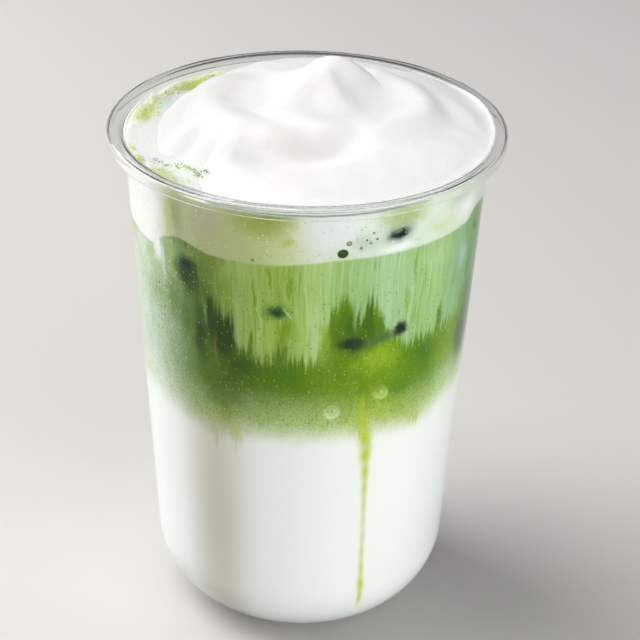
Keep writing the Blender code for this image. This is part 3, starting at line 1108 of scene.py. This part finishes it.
@dataclass(frozen=True)
class TeaBubble:
    """A bubble of froth with tea in its skin: wet and shiny, pale or dark green."""

    name: str
    colour: str
    dark: str
    roughness: float = 0.25
    ior: float = 1.34
    subsurface: float = 0.1
    depth_scale: float = 0.0008

    def material(self) -> bpy.types.Material:
        """Builds the material; its colour changes from bubble to bubble.

        Returns:
            The material.
        """
        graph = Graph(bpy.data.materials.new(self.name))
        chart = Chart(graph, Level.RADIUS)
        shade = (linear(self.dark), chart.mottled(BUBBLE_SHADE), Coating.OVER)
        skin = {
            "Base Color": chart.coated(linear(self.colour), shade), "Roughness": self.roughness,
            "IOR": self.ior, "Subsurface Weight": self.subsurface, "Subsurface Scale": self.depth_scale,
        }
        return graph.finish(graph.node("BsdfPrincipled", skin))


@dataclass(frozen=True)
class PaintedFloor:
    """A smooth floor in matt paint, pale and plain."""

    colour: str = "#DAD7D3"
    roughness: float = 0.7

    def material(self) -> bpy.types.Material:
        """Builds the material.

        Returns:
            The material.
        """
        graph = Graph(bpy.data.materials.new("matt_paint"))
        paint = {"Base Color": linear(self.colour), "Roughness": self.roughness}
        return graph.finish(graph.node("BsdfPrincipled", paint))


@dataclass
class Cup:
    """The clear cup: a pushed-up foot, a large round corner, a plain cone and a rolled rim."""

    height: float = field(default_factory=lambda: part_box("cup")[1].z)
    rim_radius: float = field(default_factory=lambda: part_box("cup")[1].x)
    wall: float = 0.0007
    cone_at_foot: float = 0.0359
    cone_at_rim: float = 0.0437
    corner: float = 0.0198
    push_up_radius: float = 0.0132
    push_up_height: float = 0.0019
    push_up_slope: float = 0.0014
    rim_height: float = 0.0029
    rim_width: float = 0.0041
    rim_edge: float = 0.0009
    rim_lip: float = 0.0020
    rim_sheet: float = 0.00062
    # Where the wall's outside ends below the rim's flare, and the angles of the rim's sheet there and inside
    flare_start: float = 0.0004
    flare_angle: float = 190.0
    inside_angle: float = 165.0
    # How much of the wall's thickness the inner bends of the foot move by
    push_up_draw: float = 0.3
    foot_draw: float = 0.5
    # How far the contents reach into the wall
    bite: float = 0.00015
    corner_steps: int = 25
    cone_steps: int = 9

    @property
    def lean(self) -> float:
        """Gives the angle between the straight wall and the cup's axis."""
        return atan2(self.cone_at_rim - self.cone_at_foot, self.height)

    def outside(self, height: float | np.ndarray) -> float | np.ndarray:
        """Gives the radius of the straight wall's outside at a height."""
        return self.cone_at_foot + (self.cone_at_rim - self.cone_at_foot) * height / self.height

    def filled(self, height: float | np.ndarray) -> float | np.ndarray:
        """Gives the radius of what fills the cup: it reaches just into the wall."""
        return self.outside(height) - (self.wall - self.bite) / cos(self.lean)

    def bowl(self, inset: float, top: float) -> Profile:
        """Gives the foot, the corner and the wall, from the axis up.

        Args:
            inset: Distance inside the cup's outside.
            top: Height where the profile ends.

        Returns:
            Radius and height of each point.
        """
        middle = self.cone_at_foot + self.corner * tan(self.lean) - self.corner / cos(self.lean)
        reach = self.corner - inset
        level = self.push_up_height + inset
        profile = [(0.0, level), (self.push_up_radius - self.push_up_draw * inset, level)]
        standing = self.push_up_radius + self.push_up_slope
        profile.append((standing + self.foot_draw * inset, inset))
        for angle in np.linspace(0, pi / 2 - self.lean, self.corner_steps):
            profile.append((middle + reach * sin(angle), self.corner - reach * cos(angle)))
        for height in np.linspace(self.corner, top, self.cone_steps)[1:]:
            profile.append((self.outside(height) - inset / cos(self.lean), height))
        return profile

    def rolled_rim(self) -> Profile:
        """Gives the rim: the sheet flares, rolls over the top and ends in a skirt that hangs free.

        Returns:
            Radius and height of each point, from the wall's outside to its inside.
        """
        sheet = self.rim_sheet
        lip = self.rim_radius - self.rim_width + self.rim_lip
        lip_height = self.height - self.rim_lip
        edge = self.rim_radius - self.rim_edge
        edge_height = self.height - self.rim_edge
        skirt = self.rim_radius - sheet / 2
        skirt_end = self.height - self.rim_height + sheet / 2
        return [
            *bend(lip, lip_height, self.rim_lip - sheet, self.flare_angle, 90),
            *bend(edge, edge_height, self.rim_edge - sheet, 90, 0),
            *bend(skirt, skirt_end, sheet / 2, 180, 360),
            *bend(edge, edge_height, self.rim_edge, 0, 90),
            *bend(lip, lip_height, self.rim_lip, 90, self.inside_angle),
        ]

    def build(self) -> None:
        """Makes the cup and dresses it."""
        top = self.height - self.rim_height
        outside = self.bowl(0.0, top - self.flare_start)
        inside = self.bowl(self.wall, top - self.wall)[::-1]
        shell = closed_body("clear_cup", turned(outside + self.rolled_rim() + inside))
        dress(shell, ThermoformedPet().material(), "clear_pet", "cup")


@dataclass
class Drink:
    """Milk, tea and froth, each from wall to wall."""

    cup: Cup
    froth_level: float = field(default_factory=lambda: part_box("froth")[1].z)
    rings_inside: int = 5
    froth_rings: int = 46
    froth_open_radius: float = 0.0300
    milk_wall_top: float = 0.055
    # Middle and swing of the lumps' share of a mound's rise, and the size of lumps and pores
    lumps: tuple[float, float] = (0.85, 0.40)
    lump_grain: float = 0.0013
    pore_grain: float = 0.0007
    pore_relief: float = 0.00007
    # How steeply a mound falls off at its ends and at its sides
    end_fall: float = 1.6
    end_power: float = 1.5
    side_fall: float = 1.3

    def meeting(self, marks: Marks, middle: float) -> list[np.ndarray]:
        """Gives the surface where two layers meet: wavy at the wall and level at the axis.

        Args:
            marks: Turn and height in millimetres along the wall.
            middle: Height at the axis in metres.

        Returns:
            Rings from the wall inwards.
        """
        at_wall = between(marks, ring_turns()) * MM
        rings = []
        for step in range(self.rings_inside, 0, -1):
            share = step / self.rings_inside
            level = middle + (at_wall - middle) * share**3
            rings.append(around(self.cup.filled(at_wall) * share, level))
        return rings + [np.array([(0.0, 0.0, middle)])]

    def froth_height(self, points: np.ndarray) -> np.ndarray:
        """Gives the height of the froth's top: level, with mounds along the wall and a fine roughness.

        Args:
            points: Rows whose x and y are places in plan.

        Returns:
            The height at each place.
        """
        turn = np.degrees(np.arctan2(points[:, 0], -points[:, 1]))
        radius = np.hypot(points[:, 0], points[:, 1])
        height = np.full(len(points), self.froth_level)
        lumps = self.lumps[0] + self.lumps[1] * rough(points, self.lump_grain)
        for middle, from_axis, length, depth, rise, _ in MOUNDS:
            way = np.radians(turn - middle) * CHART_RADIUS_MM / length
            across = (radius * TO_MM - from_axis) / depth
            fall = self.end_fall * (way**2) ** self.end_power + self.side_fall * across**2
            height += rise * lumps * np.exp(-fall)
        return height + self.pore_relief * rough(points, self.pore_grain)

    def froth_top(self) -> list[np.ndarray]:
        """Gives the froth's top, its rings close together where it lies open.

        Returns:
            Rings from the wall inwards.
        """
        wall = self.cup.filled(self.froth_level)
        rings = []
        for radius in np.linspace(wall, self.froth_open_radius, self.froth_rings):
            ring = around(radius, self.froth_level)
            ring[:, 2] = self.froth_height(ring)
            if not rings:
                ring[:, :2] *= (self.cup.filled(ring[:, 2]) / wall)[:, None]
            rings.append(ring)
        return rings + [np.array([(0.0, 0.0, self.froth_level)])]

    def build(self) -> None:
        """Makes the three layers and dresses them."""
        milk_top = self.meeting(MILK_TOP_MM, MILK_TOP_MIDDLE)
        froth_foot = self.meeting(FROTH_FOOT_MM, FROTH_FOOT_MIDDLE)
        foot = turned(self.cup.bowl(self.cup.wall - self.cup.bite, self.milk_wall_top))
        milk = WetDrink("cold_whole_milk", lowest_mm=0.0, highest_mm=73.0)
        dress(closed_body("milk_layer", foot + milk_top), milk.material(), "cold_milk", "milk")
        tea = WetDrink("whisked_green_tea", lowest_mm=64.0, highest_mm=118.0)
        dress(closed_body("tea_layer", milk_top[::-1] + froth_foot), tea.material(), "green_tea", "matcha")
        side = WetDrink("froth_against_the_wall", lowest_mm=108.0, highest_mm=TALLEST_MM, milk="#F6F7F5")
        froth = closed_body("froth_layer", froth_foot[::-1] + self.froth_top())
        dress(froth, side.material(), "tea_froth", "froth")
        froth.data.materials.append(MilkFroth().material())
        for face in froth.data.polygons:
            face.material_index = int(face.normal.z > 0)


@dataclass(frozen=True)
class Arc:
    """One stroke of the swirl: a ridge or, with a rise below zero, a furrow along part of a circle.

    Its turns are in degrees from +X towards +Y, and the widths are those of its inner and outer sides.
    """

    middle: tuple[float, float]
    radius: float
    first: float
    last: float
    fade: float
    rise: float
    inner: float
    outer: float

    def heights(self, x: np.ndarray, y: np.ndarray) -> np.ndarray:
        """Gives what the stroke adds to the cream's height.

        Args:
            x: Places in plan, to the right.
            y: Places in plan, away from the camera.

        Returns:
            The added height at each place.
        """
        across = x - self.middle[0]
        along = y - self.middle[1]
        offset = np.hypot(across, along) - self.radius
        width = np.where(offset < 0, self.inner, self.outer)
        turn = (np.degrees(np.arctan2(along, across)) - self.first) % 360
        span = self.last - self.first
        share = smooth_step(turn / self.fade) * smooth_step((span - turn) / self.fade)
        return self.rise * share * np.exp(-((offset / width) ** 2))


@dataclass(frozen=True)
class Fold:
    """One fold of the peak, along a bent line whose two sides fall off differently."""

    start: tuple[float, float]
    bend: tuple[float, float]
    end: tuple[float, float]
    rises: tuple[float, float, float]
    left: float
    right: float
    steps: int = 240

    def heights(self, x: np.ndarray, y: np.ndarray) -> np.ndarray:
        """Gives what the fold adds to the cream's height.

        Args:
            x: Places in plan, to the right.
            y: Places in plan, away from the camera.

        Returns:
            The added height at each place.
        """
        t = np.linspace(0, 1, self.steps)[:, None]
        marks = np.array([(*p, rise) for p, rise in zip((self.start, self.bend, self.end), self.rises)])
        line = (1 - t) ** 2 * marks[0] + 2 * t * (1 - t) * marks[1] + t**2 * marks[2]
        way = np.gradient(line[:, :2], axis=0)
        way /= np.linalg.norm(way, axis=1, keepdims=True)
        dx = x[:, None] - line[:, 0]
        dy = y[:, None] - line[:, 1]
        near = (dx**2 + dy**2).argmin(1)
        rows = np.arange(len(x))
        dx, dy = dx[rows, near], dy[rows, near]
        side = way[near, 0] * dy - way[near, 1] * dx
        lean = np.clip(side / (0.5 * self.left), -1, 1)
        width = 0.5 * (self.left + self.right) + 0.5 * (self.left - self.right) * lean
        return line[near, 2] * np.exp(-(dx**2 + dy**2) / width**2)


SWIRL = (
    Arc((0.0092, 0.0020), 0.0190, -152, 92, 34, 0.0020, 0.0055, 0.0042),
    Arc((0.0000, 0.0030), 0.0232, 128, 278, 34, 0.0018, 0.0055, 0.0055),
    Arc((-0.0030, -0.0080), 0.0178, -152, -12, 48, -0.0026, 0.0036, 0.0046),
    Arc((-0.0060, -0.0100), 0.0400, 4, 68, 18, -0.0005, 0.0036, 0.0034),
    Arc((-0.0060, -0.0100), 0.0453, 0, 56, 18, 0.0003, 0.0036, 0.0036),
)
PEAK = (
    Fold((-0.0015, 0.0125), (0.0066, 0.0078), (0.0145, 0.0140), (0.0026, 0.0124, 0.0020), 0.0060, 0.0046),
    Fold((0.0040, 0.0095), (0.0042, -0.0025), (0.0110, -0.0100), (0.0062, 0.0028, 0.0003), 0.0052, 0.0072),
    Fold(
        (0.0025, 0.0080), (-0.0030, -0.0035), (-0.0110, -0.0110), (0.0056, 0.0034, 0.0005), 0.0060, 0.0036,
    ),
)
# Turn, radius and height of the cream's edge, and how gently it slopes there, from a round shoulder at 0 to
# a thin shore at 1: it pulls back from the wall between -150 and -30 degrees
CREAM_EDGE = (
    (-180, 0.0437, 0.1292, 0.2), (-163, 0.0433, 0.1280, 0.6), (-150, 0.0424, 0.1272, 1.0),
    (-138, 0.0400, 0.1271, 1.0), (-106, 0.0373, 0.1271, 1.0), (-88, 0.0358, 0.1271, 0.9),
    (-72, 0.0364, 0.1271, 0.9), (-60, 0.0338, 0.1271, 1.0), (-48, 0.0334, 0.1271, 1.0),
    (-40, 0.0376, 0.1272, 1.0), (-30, 0.0428, 0.1280, 0.7), (-18, 0.0438, 0.1292, 0.2),
    (0, 0.0439, 0.1296, 0.0), (60, 0.0439, 0.1298, 0.0), (110, 0.0441, 0.1303, 0.0),
    (134, 0.0438, 0.1296, 0.0), (150, 0.0435, 0.1288, 0.1), (180, 0.0437, 0.1292, 0.2),
)


@dataclass
class Cream:
    """The soft cream: a low dome with a swirl and a bent peak, open to the froth on the left."""

    foot: float = field(default_factory=lambda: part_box("cream")[0].z)
    middle: float = 0.1356
    at_wall: float = 0.1296
    reach: float = 0.0439
    roundness: float = 2.6
    shoulder_width: float = 0.0045
    shore_width: float = 0.0090
    swirl_fade: float = 0.004
    sharpness: float = 1200.0
    summit: tuple[float, float] = (0.0056, 0.0088)
    wall_bite: float = 0.00035
    near_wall: float = 0.0415
    near_wall_blend: float = 0.0015
    shore_softness: float = 0.85
    # How far the edge sinks into the froth at a shore, and from where on the way out it sinks
    sink: float = 0.0009
    sink_from: float = 0.8
    sink_width: float = 0.2
    # The foot's share of the reach, and how far it lies inside the wall and inside and below a shore
    foot_share: float = 0.985
    foot_in_wall: float = 0.0009
    foot_in_shore: float = 0.0010
    foot_below_shore: float = 0.0012
    # Height and size of the fine lumps and of the grain
    lumps: tuple[float, float] = (0.00016, 0.0050)
    grain: tuple[float, float] = (0.00005, 0.0016)
    segments: int = 320
    rings: int = 150

    def height(self, x: np.ndarray, y: np.ndarray) -> np.ndarray:
        """Gives the height of the cream's top.

        Args:
            x: Places in plan, to the right.
            y: Places in plan, away from the camera.

        Returns:
            The height at each place.
        """
        radius = np.hypot(x, y)
        turn = np.degrees(np.arctan2(x, -y))
        reach = between(CREAM_EDGE, turn, 1)
        edge = between(CREAM_EDGE, turn, 2)
        share = np.clip(radius / self.reach, 0, 1)
        dome = self.middle - (self.middle - self.at_wall) * share**self.roundness
        gentle = between(CREAM_EDGE, turn, 3)
        inland = np.clip((reach - radius) / (self.shoulder_width + self.shore_width * gentle), 0, 1)
        shoulder = 1 - np.sqrt(1 - (1 - inland) ** 2)
        rounding = shoulder + (1 - smooth_step(inland) - shoulder) * gentle * self.shore_softness
        folds = sum(np.exp(self.sharpness * fold.heights(x, y)) for fold in PEAK)
        peak = np.log(folds - (len(PEAK) - 1)) / self.sharpness
        swirl = sum(arc.heights(x, y) for arc in SWIRL)
        swirl = swirl * np.clip((reach - radius) / self.swirl_fade, 0, 1)
        return dome - (dome - edge) * np.clip(radius / reach, 0, 1) ** 3 * rounding + swirl + peak

    def build(self) -> None:
        """Makes the cream and dresses it."""
        turns = ring_turns(self.segments)
        reach = between(CREAM_EDGE, turns, 1)
        meets_wall = smooth_step((reach - self.near_wall) / self.near_wall_blend)
        sunk = between(CREAM_EDGE, turns, 3)
        reach = reach + self.wall_bite * meets_wall
        foot_reach = reach * self.foot_share - self.foot_in_wall * meets_wall - self.foot_in_shore * sunk
        foot = around(foot_reach, self.foot, self.segments)
        foot[:, 2] -= self.foot_below_shore * sunk
        rings = [np.array([(0.0, 0.0, self.foot)]), foot]
        edge = around(reach, 0.0, self.segments)
        summit = np.array([(*self.summit, 0.0)])
        for step in range(self.rings, -1, -1):
            share = step / self.rings
            ring = summit + (edge - summit) * step / self.rings
            ring = ring[:1] if step == 0 else ring
            ring[:, 2] = self.height(ring[:, 0], ring[:, 1])
            inside = 1 - (1 - share) * smooth_step(1 - share)
            uneven = sum(rise * rough(ring, size) for rise, size in (self.lumps, self.grain))
            ring[:, 2] += inside * uneven
            if step > 0:
                ring[:, 2] -= self.sink * sunk * smooth_step((share - self.sink_from) / self.sink_width)
            rings.append(ring)
        dress(closed_body("soft_cream", rings), WhippedCream().material(), "whipped_cream", "cream")


@dataclass
class Bubbles:
    """Small bubbles in the froth on the open side, half sunk, joined into one piece for each colour."""

    drink: Drink
    cream: Cream
    seed: int = 7
    in_a_mound: int = 60
    radius: tuple[float, float] = (0.00008, 0.00028)
    speck_radius: tuple[float, float] = (0.00008, 0.00024)
    # Turn and radius along the line of dark bubbles at the cream's edge
    speck_line: Marks = (
        (-70, 0.0388), (-66, 0.0382), (-62, 0.0370), (-56, 0.0355), (-49, 0.0340), (-44, 0.0346),
        (-40, 0.0352),
    )
    specks: int = 100
    # How far the bubbles stray from the mounds' middles, as a share, and from the line, in metres
    mound_spread: float = 0.45
    line_spread: float = 0.0006
    # Room left to the wall and to the cream
    off_wall: float = 0.0009
    off_cream: float = 0.0002

    def spheres(self, name: str, places: np.ndarray, sizes: np.ndarray) -> bpy.types.Object:
        """Joins small spheres into one object.

        Args:
            name: The piece's name.
            places: The middle of each sphere.
            sizes: The radius of each sphere.

        Returns:
            The new object.
        """
        ball = bmesh.new()
        bmesh.ops.create_icosphere(ball, subdivisions=2, radius=1.0)
        corners = np.array([v.co for v in ball.verts])
        faces = np.array([[v.index for v in f.verts] for f in ball.faces])
        ball.free()
        points = places[:, None] + sizes[:, None, None] * corners
        joined = faces[None] + (np.arange(len(places)) * len(corners))[:, None, None]
        return add_object(name, points.reshape(-1, 3), [tuple(f) for f in joined.reshape(-1, 3).tolist()])

    def on_froth(self, turns: np.ndarray, radii: np.ndarray) -> np.ndarray:
        """Gives places on the froth's top.

        Args:
            turns: Turns round the cup, in degrees.
            radii: Distances from its axis.

        Returns:
            Rows of x, y and z.
        """
        ways = np.radians(turns)
        places = np.stack([radii * np.sin(ways), -radii * np.cos(ways), 0 * radii], 1)
        places[:, 2] = self.drink.froth_height(places)
        return places

    def build(self) -> None:
        """Makes the pale bubbles of the mounds and the dark ones at the cream's edge."""
        random = np.random.default_rng(self.seed)
        turns, radii = [], []
        for middle, from_axis, length, depth, _, _ in MOUNDS:
            spread = random.normal(0, self.mound_spread, (self.in_a_mound, 2))
            turns.append(middle + np.degrees(spread[:, 0] * length / CHART_RADIUS_MM))
            radii.append((from_axis + spread[:, 1] * depth) * MM)
        turns, radii = np.concatenate(turns), np.concatenate(radii)
        kept = radii < self.drink.cup.filled(self.drink.froth_level) - self.off_wall
        kept &= radii > between(CREAM_EDGE, turns, 1) + self.off_cream
        places = self.on_froth(turns[kept], radii[kept])
        sizes = random.uniform(*self.radius, len(places))
        pale = TeaBubble("pale_froth_bubbles", "#E9EFC0", "#CDDA82")
        dress(self.spheres("froth_bubbles", places, sizes), pale.material(), "tea_froth")
        marks = np.array(self.speck_line)
        turns = random.uniform(marks[0, 0], marks[-1, 0], self.specks)
        strays = random.normal(0, self.line_spread, self.specks)
        radii = np.interp(turns, marks[:, 0], marks[:, 1]) + strays
        places = self.on_froth(turns, radii)
        under_cream = radii < between(CREAM_EDGE, turns, 1)
        places[under_cream, 2] = self.cream.height(places[under_cream, 0], places[under_cream, 1])
        sizes = random.uniform(*self.speck_radius, self.specks)
        dark = TeaBubble("dark_tea_bubbles", "#C3D2A4", "#7A9658")
        dress(self.spheres("edge_bubbles", places, sizes), dark.material(), "tea_froth")


@dataclass(frozen=True)
class Drop:
    """One drop: its turn in degrees, its height, half its width and height, and how far it stands out."""

    turn: float
    height: float
    wide: float
    tall: float
    thick: float


@dataclass
class Drops:
    """Drops of condensed water that cling to the cup's outside."""

    cup: Cup
    places: tuple[Drop, ...] = (
        Drop(10.0, 0.0740, 0.0018, 0.0017, 0.00110),
        Drop(27.0, 0.0775, 0.0018, 0.0015, 0.00110),
        Drop(-46.0, 0.0400, 0.0008, 0.0006, 0.00030),
        Drop(-39.5, 0.0560, 0.0006, 0.0004, 0.00020),
    )
    steps: int = 12
    segments: int = 40
    bite: float = 0.00004
    # How far a drop's crown hangs below its middle, as a share of half its height
    sag: float = 0.12
    first_angle: float = 0.15

    def ring(self, drop: Drop, share: float, lift: float) -> np.ndarray:
        """Gives one ring of a drop.

        Args:
            drop: The drop.
            share: The ring's size as a share of the drop's.
            lift: How far the ring stands off the wall.

        Returns:
            Rows of x, y and z.
        """
        angles = np.linspace(0, 2 * pi, self.segments, endpoint=False)
        up = drop.height + drop.tall * share * np.sin(angles) - self.sag * drop.tall * lift / drop.thick
        way = radians(drop.turn) + drop.wide * share * np.cos(angles) / self.cup.outside(drop.height)
        off = self.cup.outside(up) + lift
        return np.stack([off * np.sin(way), -off * np.cos(way), up], 1)

    def form(self, drop: Drop) -> list[np.ndarray]:
        """Gives the rings of one drop, from its middle inside the wall to its middle outside.

        Args:
            drop: The drop.

        Returns:
            The rings.
        """
        rings = [self.ring(drop, share, -self.bite) for share in (0.0, 0.5, 1.0)]
        rings[0] = rings[0][:1]
        for angle in np.linspace(self.first_angle, pi / 2, self.steps)[:-1]:
            rings.append(self.ring(drop, cos(angle), drop.thick * sin(angle)))
        return rings + [self.ring(drop, 0.0, drop.thick)[:1]]

    def build(self) -> None:
        """Makes each drop and dresses it."""
        water = CondensedWater().material()
        for number, drop in enumerate(self.places, 1):
            dress(closed_body(f"water_drop_{number}", self.form(drop)), water, "clear_pet")


@dataclass(frozen=True)
class Softbox:
    """A large soft light that looks at the cup."""

    name: str
    turn: float
    rise: float
    distance: float
    width: float
    height: float
    power: float
    colour: str = "#FFFFFF"

    def build(self, target: Vector) -> None:
        """Hangs the light where its turn and rise, both in degrees, say.

        Args:
            target: The place that it looks at.
        """
        lamp = bpy.data.lights.new(self.name, "AREA")
        lamp.shape = "RECTANGLE"
        lamp.size = self.width
        lamp.size_y = self.height
        lamp.energy = self.power
        lamp.color = linear(self.colour)[:3]
        holder = bpy.data.objects.new(self.name, lamp)
        bpy.context.scene.collection.objects.link(holder)
        turn, rise = radians(self.turn), radians(self.rise)
        way = Vector((sin(turn) * cos(rise), -cos(turn) * cos(rise), sin(rise)))
        holder.location = target + way * self.distance
        holder.rotation_euler = way.to_track_quat("Z", "Y").to_euler()


@dataclass
class Studio:
    """Camera at the photograph's angle, soft lights, a pale floor and an even surrounding."""

    aim_height: float = 0.060
    distance: float = 0.500
    elevation: float = 30.82
    down_more: float = -1.65
    turn_right: float = 0.54
    roll: float = 1.35
    focal_pixels: float = 1964.0
    picture_pixels: float = 640.0
    sensor_mm: float = 36.0
    floor_size: float = 4.0
    ceiling: str = "#FFFFFF"
    horizon: str = "#8C8C8C"
    ceiling_from: float = 0.5
    surrounding_strength: float = 0.15
    nearest: float = 0.01
    lights: tuple[Softbox, ...] = (
        Softbox("window", -112, 30, 1.0, 0.9, 0.9, 8.5),
        Softbox("overhead", -100, 68, 1.1, 0.7, 0.7, 6.6),
        Softbox("fill", 40, 12, 1.3, 1.0, 0.9, 11.0),
    )

    def camera(self) -> None:
        """Sets up the camera."""
        lens = bpy.data.cameras.new("camera")
        lens.sensor_width = self.sensor_mm
        lens.lens = self.focal_pixels / self.picture_pixels * self.sensor_mm
        lens.clip_start = self.nearest
        eye = bpy.data.objects.new("camera", lens)
        bpy.context.scene.collection.objects.link(eye)
        up = radians(self.elevation)
        place = Vector((0.0, -self.distance * cos(up), self.aim_height + self.distance * sin(up)))
        down = radians(self.elevation + self.down_more)
        eye.matrix_world = (
            Matrix.Translation(place)
            @ Matrix.Rotation(-radians(self.turn_right), 4, "Z")
            @ Matrix.Rotation(pi / 2 - down, 4, "X")
            @ Matrix.Rotation(radians(self.roll), 4, "Z")
        )
        bpy.context.scene.camera = eye

    def floor(self) -> None:
        """Lays the floor."""
        half = self.floor_size / 2
        corners = np.array([(-half, -half, 0.0), (half, -half, 0.0), (half, half, 0.0), (-half, half, 0.0)])
        plane = add_object("floor", corners, [(0, 1, 2, 3)])
        plane.data.materials.append(PaintedFloor().material())

    def surround(self) -> None:
        """Fills the surrounding with even light, and shows colours as they are."""
        graph = Graph(bpy.data.worlds.new("studio"))
        upward = graph.node("SeparateXYZ", (graph.node("TexCoord").outputs["Generated"],)).outputs["Z"]
        shade = graph.node("ValToRGB", (upward,))
        low, high = shade.color_ramp.elements
        low.color = linear(self.horizon)
        high.color = linear(self.ceiling)
        high.position = self.ceiling_from
        light = graph.node("Background", {"Color": shade, "Strength": self.surrounding_strength})
        bpy.context.scene.world = graph.finish(light, "OutputWorld")
        bpy.context.scene.view_settings.view_transform = "Standard"

    def build(self) -> None:
        """Sets up the camera, the lights, the floor and the surrounding."""
        self.camera()
        self.floor()
        self.surround()
        for light in self.lights:
            light.build(Vector((0.0, 0.0, self.aim_height)))


def main() -> None:
    """Builds the studio and every piece in order."""
    logging.basicConfig(level=logging.INFO, format="%(name)s: %(message)s")
    Studio().build()
    cup = Cup()
    cup.build()
    drink = Drink(cup)
    drink.build()
    cream = Cream()
    cream.build()
    Bubbles(drink, cream).build()
    Drops(cup).build()


if __name__ == "__main__":
    main()
